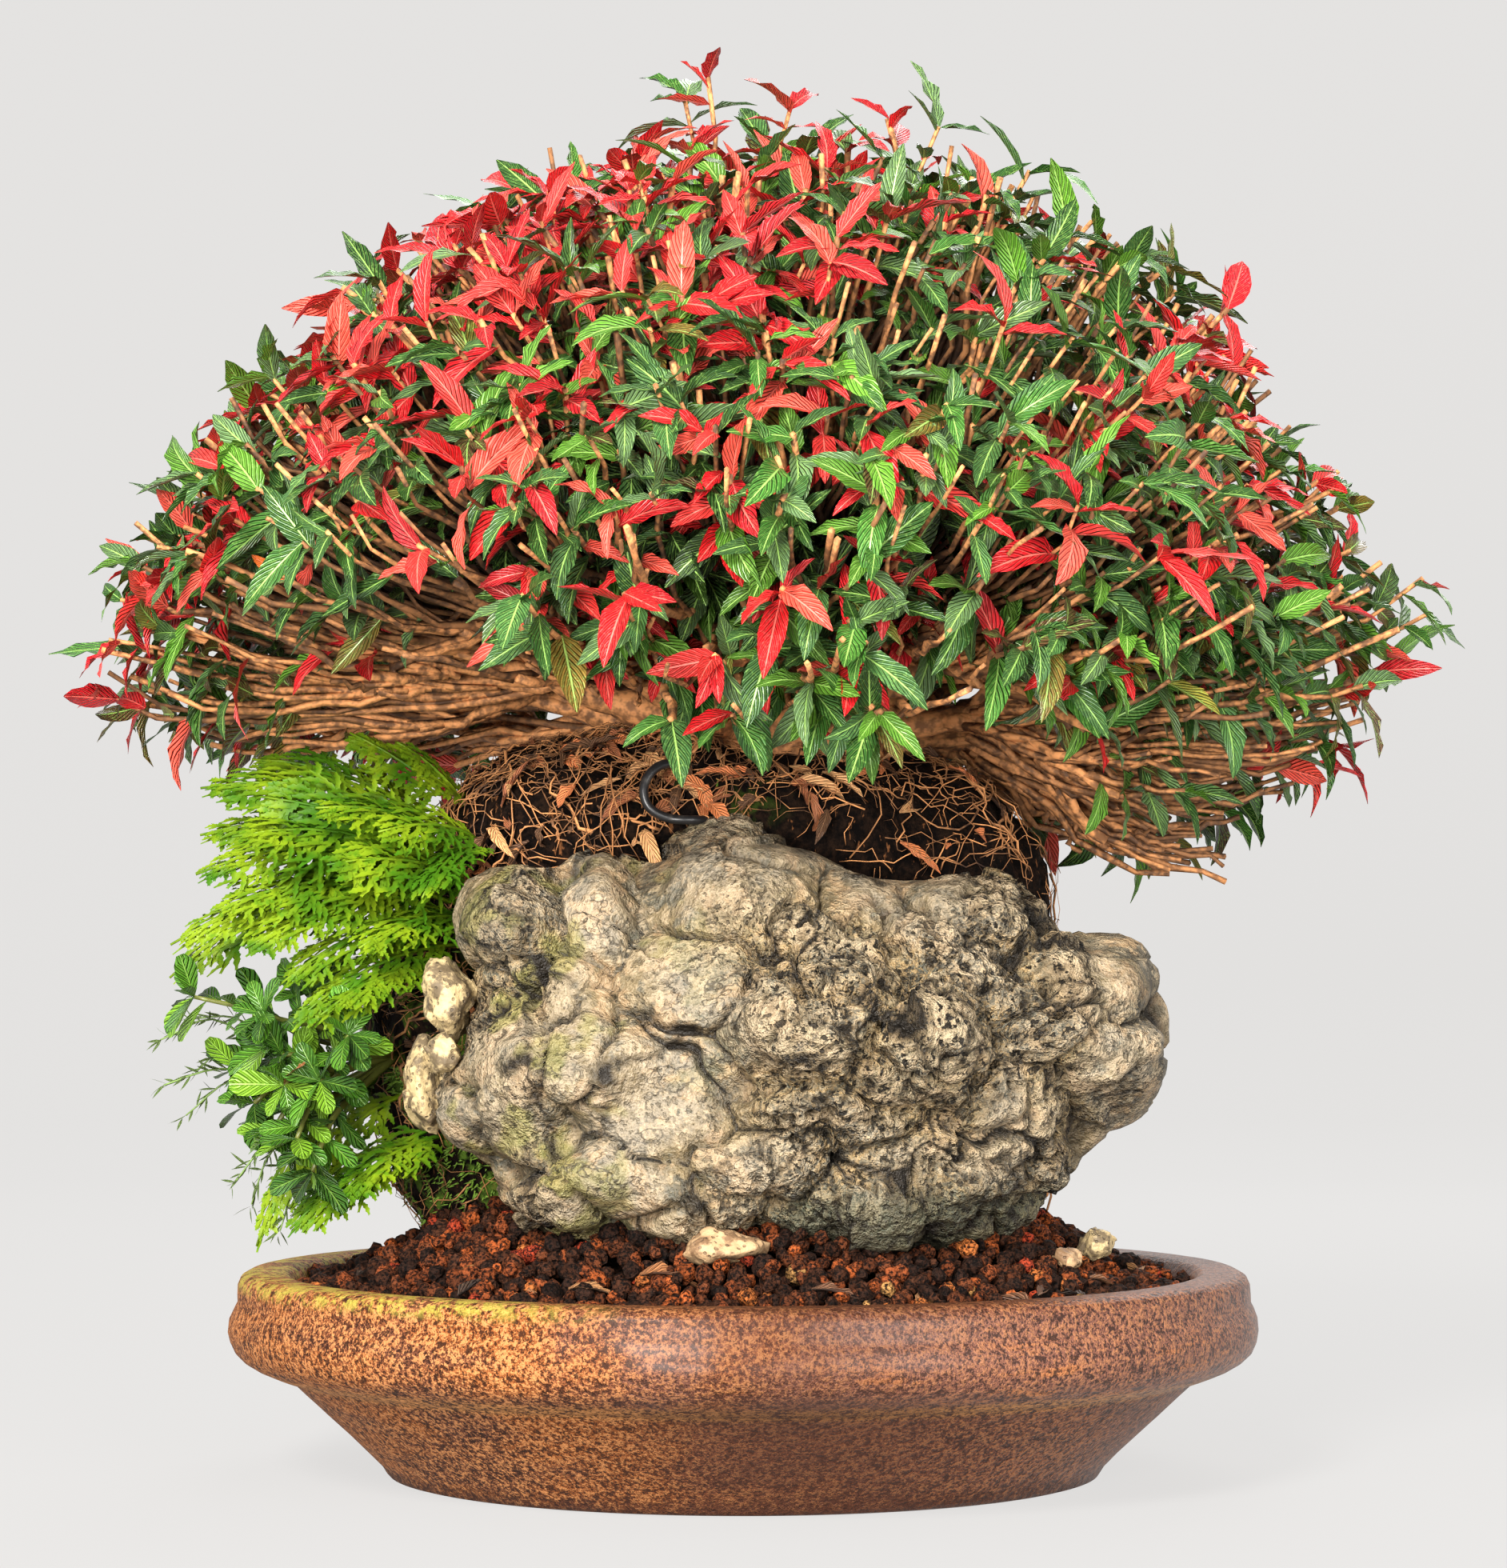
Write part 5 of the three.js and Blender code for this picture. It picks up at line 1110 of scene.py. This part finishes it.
rng = draws(21)
profile = np.array([(0.5, 10.2), (78, 10.2), (100, 29), (109.5, 44), (110.2, 45.2), (109, 46), (104, 46),
                    (97, 47), (88, 49), (76, 53), (60, 58), (40, 62), (0.5, 63.5)])
disc, discQuads = turned(profile, roundSides).reshape(-1, 3), gridQuads(len(profile), roundSides, closed=True)
gx, gy = np.meshgrid(np.arange(-30, 31), np.arange(-34, 35))
spots = np.stack([(gx + 0.5 * (gy % 2)).ravel() * soilOf["pitch"], gy.ravel() * soilOf["pitch"] * 0.87], -1)
upper = spots[rng.random(len(spots)) < 0.4] + rng.normal(0, 2, (1, 2))
spots = np.concatenate([spots, upper])
layer = np.concatenate([np.zeros(len(spots) - len(upper)), np.ones(len(upper))])
spots = spots + rng.normal(0, 0.85, spots.shape)
size = rng.uniform(*soilOf["grain"], len(spots)) * np.where(layer > 0, 0.9, 1)
z = soilHeight(spots[:, 0], spots[:, 1]) - 1.2 + 2.1 * layer + rng.normal(0, 0.5, len(spots))
place = np.concatenate([spots, z[:, None]], 1)
keep = np.hypot(spots[:, 0], spots[:, 1]) + size < soilOf["wall"]
keep &= fromStone(place) > 0.2 * size
keep &= fromBall(place) > -1
place, size = place[keep], size[keep]
count = len(place)
ways, quads = sphereGrid(2)
turnA = unit(rng.normal(0, 1, (count, 3)))
turnB = across(turnA, rng.normal(0, 1, (count, 3)))
axes = np.stack([turnA, turnB, np.cross(turnA, turnB)], 1) * rng.uniform(0.78, 1.2, (count, 3, 1))
shape = np.einsum("vk,nkc->nvc", ways, axes) * rng.uniform(0.8, 1.16, (count, len(ways), 1))
points = place[:, None] + shape * size[:, None, None]
grainQuads = (quads[None] + np.arange(count)[:, None, None] * len(ways)).reshape(-1, 4)
points, faces = joined([(disc, [discQuads]), (points.reshape(-1, 3), [grainQuads])])
grainTints = np.array([(0.075, 0.026, 0.012), (0.14, 0.042, 0.016), (0.23, 0.065, 0.02),
                       (0.035, 0.015, 0.009), (0.30, 0.11, 0.035), (0.016, 0.008, 0.006),
                       (0.25, 0.04, 0.02), (0.30, 0.19, 0.08)])
weights = (0.23, 0.18, 0.07, 0.24, 0.02, 0.23, 0.02, 0.01)
grainTint = grainTints[rng.choice(8, count, p=weights)] * rng.uniform(0.6, 1.2, (count, 1))
# The disc under the grains is laid near black: painted shade in the gaps between the grains
tint = np.concatenate([np.tile((0.012, 0.006, 0.004), (len(disc), 1)), perPoint(grainTint, len(ways))])
gravel, tree, shader = newMaterial("lavaGravel", 0.8, **{"Specular IOR Level": 0.1})
spot = objectPoint(tree)
porous = noiseAt(spot, 0.9, 2, 0.7)
mask = useGroup(tree, specks, {"Vector": spot, "Size": 1.1, "Share": 0.34})["Mask"]
colour = blend(between(porous, 0.38, 0.62), (0.04, 0.03, 0.025), (1.3, 1.05, 0.8))
colour = blend(1.0, attribute(tree, "tint", "Color"), colour, "MULTIPLY")
colour = blend(mask * 0.6, colour, (0.012, 0.008, 0.006))
dress(shader, colour, porous - mask * 0.6, 0.6, 0.9)
makePiece("soil_grains", points, faces, gravel, ["soil"], values={"tint": tint}, smooth=False)

# Leaves fallen on the soil: the two large ones and smaller ones round the stone
fallen = np.array([[-16, -88, 0.35, 16, 6], [59, -84, 2.6, 18, 7], [-34, -90, 0.1, 12, 4],
                   [-62, -76, 0.9, 13, 4.6], [-52, -88, 2.9, 10, 3.4], [22, -95, 0.2, 13, 4],
                   [42, -92, 1.1, 10, 4], [76, -66, 2.2, 14, 4.4], [88, -50, 0.6, 15, 4.6],
                   [70, -74, 1.3, 11, 4], [95, -20, 1.9, 13, 5], [-90, -34, 1.0, 12, 4],
                   [-98, 0, 1.7, 12, 4], [-88, 44, 2.4, 14, 5], [0, 98, 0.4, 14, 5], [60, 84, 0.8, 15, 5],
                   [-50, 90, 2.0, 13, 4.4], [92, 44, 1.2, 14, 5]])
x, y, turn, length, width = fallen.T
way = np.stack([np.cos(turn), np.sin(turn), 0 * turn], -1)
middle = np.stack([x, y, soilHeight(x, y) + 2.6], -1)
slope = unit(np.stack([x, y, 0 * x], -1)) * 0.38 * smoothstep((np.hypot(x, y) - 62) / 20)[:, None]
face = unit(slope + np.array([0, 0, 1.0]))
way = flatTo(way, face)
count = len(fallen)
points, quads, uv = blades(middle - way * length[:, None] / 2, way, face, length, width,
                           rng.uniform(0.4, 1.6, count), rng.uniform(0.4, 1.0, count),
                           rng.uniform(0.3, 0.8, count), rng.uniform(0, 6, count))
browns = np.array([(0.34, 0.13, 0.045), (0.16, 0.065, 0.03), (0.42, 0.19, 0.07), (0.05, 0.028, 0.02)])
fallTint = browns[np.arange(count) % 4]
makePiece("fallen_leaves", points, [quads], deadLeaf, ["fallen_leaf_1", "fallen_leaf_2"], uv,
          {"tint": perPoint(fallTint, bladePoints)})

# Pot
potOf = {"sides": 176, "drain": 8, "drainReach": 39, "outerPoints": 28,
         "outside": [(0, 0), (86.5, 0), (88, 0.4), (88.7, 1.3), (89.8, 3), (93.5, 6.6), (98.5, 11.3),
                     (103.8, 16.2), (108.6, 20.7), (112.8, 24.5), (115.2, 25.8), (116.4, 25.6),
                     (118.2, 26.3), (121.2, 27.6), (124, 29.3), (126, 31.2), (127.1, 33.6), (127.6, 36),
                     (127.4, 39), (126.4, 41.6), (125.7, 43), (125.6, 45), (125.4, 47.4), (124.6, 49.2),
                     (122.8, 50.2), (120, 50.4), (116.5, 50.4), (114, 50.2), (112.6, 49.4), (111.8, 48),
                     (108.2, 39), (104, 30), (94, 19), (84, 8), (40, 8), (0, 8)]}
profile = np.array(potOf["outside"], float)
sides = potOf["sides"]
points = turned(profile, sides)
body = (profile[:, 1] > 1) & (profile[:, 0] > 86) & (np.arange(len(profile)) < potOf["outerPoints"])
wobble = 0.35 * field(points, 45) + 0.18 * field(points, 9)
wobble += 0.22 * field(points * np.array([0.25, 0.25, 1]), 4.2)
points[..., :2] *= (1 + np.where(body[:, None], wobble, 0) / 120)[..., None]
points = points[1:-1]
n = len(points)
j = np.arange(sides)
nextOne, last = (j + 1) % sides, (n - 1) * sides
low = np.stack([np.full(sides, n * sides), nextOne, j], -1)
high = np.stack([np.full(sides, n * sides + 1), last + j, last + nextOne], -1)
points = np.concatenate([points.reshape(-1, 3), [[0, 0, 0.0], [0, 0, 8.0]]])
stoneware, tree, shader = newMaterial("stoneware", 0.5,
                                      **{"Specular IOR Level": 0.12, "Coat Roughness": 0.35})
spot = objectPoint(tree)
x, y, z = splitUp(spot)
cloud = noiseAt(spot, 30, 3, 0.6)
band = noiseAt(spot, 16, 3, 0.6, (0.35, 0.35, 2.2))
speck = noiseAt(spot, 2.3, 3, 0.75)
grain = noiseAt(spot, 0.9, 2, 0.75)
leftness = between(x + (cloud - 0.5) * 0.2, 0.05, -0.07)
rimBand = between(z, 0.026, 0.032) * between(z, 0.052, 0.046)
# Flashed streaks on the rim band, the ochre seam at the waist
streaks = between(noiseAt(spot, 9, 5, 0.65, (0.45, 0.45, 3)), 0.54, 0.64)
streaks = streaks * (between(z, 0.023, 0.03) * between(z, 0.046, 0.036))
seam = between(z, 0.0235, 0.0252) * between(z, 0.0285, 0.0268) * between(speck, 0.36, 0.54)
# Grains: ochre where two noises run high, nearly black where they run low
bright = calc("MAXIMUM", between(grain, 0.53, 0.58), between(speck, 0.55, 0.60))
dark = calc("MAXIMUM", between(grain, 0.46, 0.41), between(speck, 0.44, 0.39))
lichen = between(z, 0.0455, 0.0492) * between(noiseAt(spot, 4, 6, 0.75), 0.46, 0.54)
lichen = lichen * between(x, -0.02, -0.07)
foot = between(z + (speck - 0.5) * 0.012, 0.006, 0.001)
# Painted shade: darker in the middle of the front
frontShade = between(abs(x - 0.012), 0.07, 0.0) * between(y, 0.0, -0.04)
colour = layered(blend(leftness, (0.105, 0.032, 0.015), (0.215, 0.062, 0.013)),
                 (between(cloud, 0.48, 0.62) * 0.6, (0.16, 0.052, 0.022)),
                 (between(band, 0.46, 0.62) * 0.75, (0.095, 0.032, 0.016)),
                 (rimBand * (0.45 + leftness * -0.40), (0.21, 0.092, 0.064)),
                 (streaks * 0.6, (0.33, 0.11, 0.03)), (seam * 0.85, (0.40, 0.18, 0.05)),
                 (bright * (leftness * 0.4 + 0.3), (0.54, 0.23, 0.08)), (dark * 0.85, (0.010, 0.003, 0.0015)),
                 (lichen * 0.75, (0.40, 0.33, 0.05)), (foot * 0.75, (0.035, 0.013, 0.008)),
                 # painted shade on the middle of the front
                 (frontShade * 0.6, (0.05, 0.016, 0.008)))
plug(tree, 0.36 + leftness * 0.3, shader.inputs["Roughness"])
plug(tree, rimBand * (0.35 - leftness * 0.35), shader.inputs["Coat Weight"])
dress(shader, colour, grain * 0.6 + speck, 1.2)
pot = makePiece("pot_thrown", points, [gridQuads(n, sides, closed=True), low, high], stoneware,
                ["pot"])
for x in (-potOf["drainReach"], potOf["drainReach"]):  # drain holes, cut by a drill of 32 sides
    path = np.array([[[x, 0, -3.0], [x, 0, 4.0], [x, 0, 12.0]]])
    drill = tubes(path, np.full((1, 3), float(potOf["drain"])), 32)
    mesh = bpy.data.meshes.new("drill")
    mesh.from_pydata((drill[0] * metres).tolist(), [], drill[1].tolist() + drill[2].tolist())
    drillObject = placed("drill", mesh)
    cut = pot.modifiers.new("drain", "BOOLEAN")
    cut.operation, cut.object, cut.solver = "DIFFERENCE", drillObject, "EXACT"
    bpy.context.view_layer.update()
    finished = bpy.data.meshes.new_from_object(pot.evaluated_get(bpy.context.evaluated_depsgraph_get()))
    pot.modifiers.clear()
    pot.data = finished
    bpy.data.objects.remove(drillObject)

# Wire staple and drain meshes
staple = {"path": [[-11, -18, 173.5], [-16, -30, 175], [-21, -34.5, 173.8], [-24, -36, 169.6],
                   [-23.2, -36.5, 164.5], [-18.5, -36, 161.5], [-11, -34.5, 161], [-6, -22, 161.5]],
          "radius": 1.15}
path = smoothPath(staple["path"], 60)[None]
wireTube = tubes(path, np.full((1, 60), staple["radius"]), 14,
                 np.broadcast_to(np.array([0, 1.0, 0.2]), path.shape))
blackWire, tree, shader = newMaterial("blackWire", 0.32)
spot = objectPoint(tree)
colour = blend(between(noiseAt(spot, 3, 4), 0.5, 0.7), (0.012, 0.012, 0.013), (0.05, 0.045, 0.04))
dress(shader, colour, noiseAt(spot, 1.4), 0.1, 0.5)
makePiece("staple_wire", wireTube[0], list(wireTube[1:]), blackWire, ["wire_staple"])

plastic, tree, shader = newMaterial("meshPlastic", 0.55)
spot = objectPoint(tree)
colour = blend(noiseAt(spot, 4), (0.015, 0.015, 0.015), (0.05, 0.045, 0.04))
dress(shader, colour, noiseAt(spot, 0.8), 0.1, 0.5)
for name in ("drain_mesh_left", "drain_mesh_right"):
    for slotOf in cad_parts[name].material_slots:
        slotOf.material = plastic

# Spikemoss
fernOf = {
    "root": 3, "strap": 0.95, "spacing": 4.3,
    "fronds": [
        [(-84, 0, 160), (-134.7, -10, 169.6), 9, 11], [(-84, 12, 164), (-124, 8, 177.5), 6, 9],
        [(-78, 6, 170), (-99, 4, 184), 2, 6], [(-74, 0, 168), (-86, -10, 181), 2, 5.5],
        [(-84, -12, 152), (-134, -24, 148), 10, 11], [(-84, -16, 146), (-139.3, -30, 130.8), 11, 10],
        [(-90, 4, 144), (-142.9, -4, 122.6), 12, 9.5], [(-80, -16, 140), (-112, -38, 121), 7, 8],
        [(-82, -22, 127), (-101, -48, 114), 5, 5.5], [(-70, -18, 158), (-77, -46, 142), 5, 6.5],
        [(-85, 2, 156), (-135, -8, 158), 8, 9], [(-88, -14, 80), (-110, -30, 62), 3, 8],
        [(-92, 8, 98), (-121, -4, 56), 8, 5]],
    "fillers": [
        [(-82, -6, 158), (-118, -24, 167), 6, 10], [(-84, -8, 150), (-124, -34, 157), 8, 10],
        [(-86, -10, 146), (-128, -36, 139), 8, 10], [(-84, -14, 142), (-120, -40, 130), 8, 9],
        [(-80, -18, 150), (-100, -44, 150), 6, 9], [(-78, -20, 140), (-92, -46, 130), 5, 8],
        [(-86, 8, 150), (-128, 10, 160), 8, 10],
        [(-80, -12, 160), (-104, -32, 164), 5, 9], [(-82, -18, 134), (-108, -44, 112), 6, 8],
        [(-74, -16, 162), (-88, -40, 158), 4, 8],
        [(-84, -12, 78), (-98, -34, 70), 3, 7], [(-90, 0, 92), (-112, -10, 66), 6, 5]]}
straps = {16: [], 8: []}
ribPaths = []
rng = draws(33)


# Strap of scale leaves along a path: a ribbon folded along its middle, with a tooth each side
# at every other station, held as path, side and up
def strapAlong(root, out, length, droop, up, stations):
    q = np.linspace(0, 1, stations)[:, None]
    path = root + out * length * q + droop * length * q ** 2
    straps[stations].append((path, across(up, out), up))
    return path


def growFrond(near, target, arch, spanWidth, faceWay):
    near, target = np.array(near, float), np.array(target, float)
    base = onBall(unit(near - centre)[None], -fernOf["root"])[0]
    way = target - base
    length = float(np.linalg.norm(way))
    side = across(np.array(faceWay, float), way)
    up = unit(np.cross(way, side))
    t = np.linspace(0, 1, 8)[:, None]
    axis = base + way * t + up * arch * 4 * t * (1 - t)
    ribPaths.append(axis)
    strapAlong(axis[-3], unit(axis[-1] - axis[-3]), length * 0.3, np.array([0, 0, -0.12]), up, 16)
    pairs = max(5, int(length / fernOf["spacing"]))
    for n in range(pairs):
        for sign in (-1, 1):
            u = 0.14 + 0.82 * (n + 0.25 * sign) / pairs
            spot = base + way * u + up * arch * 4 * u * (1 - u)
            ahead = unit(way + up * arch * 4 * (1 - 2 * u))
            swell = math.sin(math.pi * min(1, 0.25 + 0.78 * u)) ** 0.7
            reach = spanWidth * 1.5 * swell * rng.uniform(0.75, 1.2)
            out = unit(ahead * 0.9 + sign * side + up * rng.normal(0.05, 0.16))
            droop = ahead * 0.25 - up * 0.15 + np.array([0, 0, -0.18])
            branch = strapAlong(spot, out, reach, droop, up, 16)
            for m, root in enumerate(branch[4:14:3]):
                turn = 1 if (m + n) % 2 else -1
                fork = unit(out * 0.95 + turn * across(up, out))
                strapAlong(root, fork, reach * (0.44 - 0.07 * m) + 1.2, droop, up, 8)


for near, target, arch, spanWidth in fernOf["fronds"]:
    growFrond(near, target, arch, spanWidth, (-0.25, -0.55, 0.8))
for near, target, arch, spanWidth in fernOf["fillers"]:
    growFrond(near, target, arch, spanWidth, (-0.25 + rng.normal(0, 0.2), -0.7, 0.7 + rng.normal(0, 0.2)))
parts = []
for stations, held in straps.items():
    path = np.array([h[0] for h in held])
    side, up = np.array([h[1] for h in held])[:, None], np.array([h[2] for h in held])[:, None]
    keep = fromBall(path.mean(1)) > 0
    path, side, up = path[keep], side[keep], up[keep]
    count = len(path)
    t = np.arange(stations)
    tooth = np.where(t % 2, 1.0, 0.6)[None, :, None]
    taper = (np.minimum(1, 0.35 + t / 3) * np.sqrt(np.clip((stations - 0.6 - t) / 3, 0, 1)))[None, :, None]
    half = fernOf["strap"] * tooth * taper * rng.uniform(0.8, 1.2, (count, 1, 1))
    ahead = unit(np.gradient(path, axis=1)) * 0.3 * tooth
    edge = up * 0.35 * half
    points = np.stack([path - side * half + ahead + edge, path, path + side * half + ahead + edge], 2)
    parts.append((points.reshape(-1, 3), [gridQuads(stations, 3, count)]))
ribs = tubes(np.array(ribPaths), np.broadcast_to(np.linspace(0.75, 0.3, 8), (len(ribPaths), 8)), 4)
points, faces = joined([*parts, (ribs[0], ribs[1:])])
fern, tree, shader = newMaterial("spikemoss", 0.5, **{"Specular IOR Level": 0.25})
spot = objectPoint(tree)
colour = blend(between(noiseAt(spot, 16, 3), 0.35, 0.65), (0.035, 0.11, 0.002), (0.17, 0.255, 0.006))
colour = blend(between(noiseAt(spot, 2.5), 0.5, 0.7) * 0.6, colour, (0.035, 0.14, 0.003))
dress(shader, colour, noiseAt(spot, 1.2), 0.2, 0.5)
makePiece("spikemoss_fronds", points, faces, fern,
          [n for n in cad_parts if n.startswith("spikemoss")])

# Seedling and grass
seedlingOf = {
    "foot": (-96, -6, 102), "length": (8, 13.5), "twigs": [
        [(-108, -12, 108), (-117, -14, 114), (-126, -16, 116), (-135, -18, 118)],
        [(-106, -17, 103), (-109, -26, 99), (-111, -35, 97)],
        [(-110, -9, 102), (-118, -7, 102), (-125, -8, 100)],
        [(-103, -14, 108), (-104, -18, 113), (-106, -22, 119)],
        [(-108, -9, 98), (-112, -10, 92), (-115, -12, 87)],
        [(-101, -22, 103), (-98, -32, 105), (-95, -40, 109)],
        [(-104, -20, 98), (-106, -30, 90), (-108, -34, 84)],
        [(-102, -18, 110), (-110, -28, 112), (-116, -34, 114)],
        [(-100, -12, 100), (-108, -18, 102), (-116, -22, 106)],
        [(-102, -10, 96), (-112, -16, 98), (-120, -20, 92)],
        [(-100, -16, 100), (-106, -26, 104), (-112, -30, 104)],
        [(-100, -14, 94), (-108, -24, 96), (-114, -28, 86)],
        [(-98, -14, 100), (-100, -28, 98), (-102, -38, 98)],
        [(-98, -16, 92), (-101, -30, 86), (-104, -36, 76)]]}
rng = draws(45)
foot = onBall(unit(np.array(seedlingOf["foot"]) - centre)[None], -1.5)[0]
stems = np.array([smoothPath([foot, *path], 12) for path in seedlingOf["twigs"]])
stalks = tubes(stems, np.linspace(1.1, 0.55, 12) * np.ones((len(stems), 1)), 6)
base, way = [], []
for path in stems:
    ahead = unit(path[-1] - path[-3])
    one = across(ahead, np.array([0.2, 0.1, 1.0]))
    two = np.cross(ahead, one)
    for n in range(6):  # whorl at the tip
        a = n * 1.05 + rng.uniform(-0.2, 0.2)
        base.append(path[-1])
        way.append(unit(ahead * 0.55 + one * math.cos(a) + two * math.sin(a)))
    for n, k in enumerate((4, 5, 6, 7, 8, 9, 10)):  # leaves in turn up the stem
        a = n * 2.4 + rng.uniform(-0.3, 0.3)
        base.append(path[k])
        way.append(unit(ahead * 0.6 + one * math.cos(a) + two * math.sin(a)))
base, way = np.array(base), np.array(way)
count = len(base)
length = rng.uniform(*seedlingOf["length"], count)
face = unit(np.array([-0.3, -0.7, 0.75]) + rng.normal(0, 0.3, (count, 3)))
points, quads, uv = blades(base, way, face, length, length * rng.uniform(0.42, 0.52, count),
                           rng.uniform(0.1, 0.7, count), rng.uniform(0.1, 0.35, count),
                           rng.uniform(0.05, 0.25, count), rng.uniform(0, 6, count), round=1.0, taper=0.45)
tint = tints([(0.05, 0.16, 0.012), (0.08, 0.23, 0.016), (0.17, 0.35, 0.02), (0.035, 0.11, 0.012)], count, 0.2)
tint[17] = (0.55, 0.17, 0.07)  # one leaf has turned
points, faces = joined([(points, [quads]), (stalks[0], stalks[1:])])
uv = np.concatenate([uv, np.full((len(stalks[0]), 2), 0.3)])
tint = np.concatenate([perPoint(tint, bladePoints), np.tile((0.10, 0.07, 0.02), (len(stalks[0]), 1))])
seedlingLeaf = leafMaterial("seedlingLeaf", (0.22, 0.38, 0.05), 0.35, 0.33, 6.0)
makePiece("seedling_plant", points, faces, seedlingLeaf, ["seedling"], uv, {"tint": tint})

strandsOf = [
    [(-116, 8, 100), (-132, 4, 112), (-146, 2, 107)], [(-114, 10, 92), (-128, 8, 97), (-140, 6, 88)],
    [(-112, 8, 84), (-119, 4, 78), (-123, 2, 66)], [(-116, 12, 96), (-130, 10, 104), (-138, 9, 99)],
    [(-114, 4, 96), (-130, -2, 100), (-144, -6, 96)], [(-112, 0, 88), (-120, -6, 80), (-126, -8, 72)],
    [(-116, 14, 102), (-128, 16, 112), (-141, 16, 112)], [(-108, 2, 82), (-112, -4, 70), (-115, -6, 60)]]
foot = onBall(unit(np.array([-100, 14, 92.0]) - centre)[None], -1.5)[0]
paths = np.array([smoothPath([foot, *path], 14) for path in strandsOf])
strands = tubes(paths, np.linspace(0.5, 0.2, 14) * np.ones((len(paths), 1)), 5)
spots = paths[:, 4:].reshape(-1, 3)
ahead = unit(np.gradient(paths, axis=1))[:, 4:].reshape(-1, 3)
spots, ahead = np.repeat(spots, 3, 0), np.repeat(ahead, 3, 0)
count = len(spots)
spots = spots + ahead * rng.uniform(-1.5, 1.5, (count, 1))
way = unit(ahead + 0.7 * rng.normal(0, 1, (count, 3)))
points, quads, uv = blades(spots, way, unit(rng.normal(0, 1, (count, 3))), rng.uniform(3, 6, count),
                           np.full(count, 0.7), rng.uniform(0, 0.5, count), np.full(count, 0.2),
                           np.zeros(count), np.zeros(count), rows=4)
points, faces = joined([(points, [quads]), (strands[0], strands[1:])])
uv = np.concatenate([uv, np.full((len(strands[0]), 2), 0.3)])
tint = np.tile((0.16, 0.26, 0.06), (len(points), 1))
grassBlade = leafMaterial("grassBlade", (0.30, 0.36, 0.12), 0.3, 0.5, 4.0)
makePiece("grass_tuft", points, faces, grassBlade, ["grass_strands"], uv, {"tint": tint})

# Light, and a floor that curves up all round into a pale wall
rings = np.array([(0.001, 0), (1.4, 0), (1.7, 0.02), (1.95, 0.1), (2.12, 0.25), (2.2, 0.45), (2.25, 1.0),
                  (2.3, 3.2)])
floorMesh = bpy.data.meshes.new("floor")
floorMesh.from_pydata(turned(rings, roundSides).reshape(-1, 3).tolist(), [],
                      gridQuads(len(rings), roundSides, closed=True)[:, [0, 3, 2, 1]].tolist())
floorMesh.shade_smooth()
floorMaterial, tree, shader = newMaterial("floor", 0.5)
shader.inputs["Base Color"].default_value = (0.06, 0.06, 0.06, 1)
shader.inputs["Specular IOR Level"].default_value = 0
shader.inputs["Emission Color"].default_value = (1, 0.985, 0.97, 1)
shader.inputs["Emission Strength"].default_value = 0.70
floorMaterial.cycles.emission_sampling = "NONE"
floorMesh.materials.append(floorMaterial)
placed("floor", floorMesh)

world = bpy.data.worlds.new("studio")
world.use_nodes = True
world.node_tree.nodes["Background"].inputs["Color"].default_value = (0.95, 0.94, 0.93, 1)
world.node_tree.nodes["Background"].inputs["Strength"].default_value = 0.5
bpy.context.scene.world = world
lightsOf = {"key": [(-0.45, -1.25, 0.9), 42, 0.4, (1, 0.97, 0.92)],
            "fill": [(0.75, -1.3, 0.4), 19, 0.8, (1, 0.98, 0.95)],
            "low": [(-0.35, -1.45, 0.12), 30, 0.4, (1, 0.97, 0.93)],
            "back": [(0.3, 1.2, 1.1), 16, 0.9, (1, 1, 1)]}
for name, (spot, power, width, colour) in lightsOf.items():
    data = bpy.data.lights.new(name, "AREA")
    data.energy, data.size, data.color = power, width, colour
    light = placed(name, data)
    light.location = spot
    aim = np.array([0, 0, 0.17]) - np.array(spot)
    flat = math.hypot(aim[0], aim[1])
    light.rotation_euler = (math.atan2(flat, -aim[2]), 0, math.atan2(aim[1], aim[0]) - math.pi / 2)
bpy.context.scene.view_settings.view_transform = "Standard"
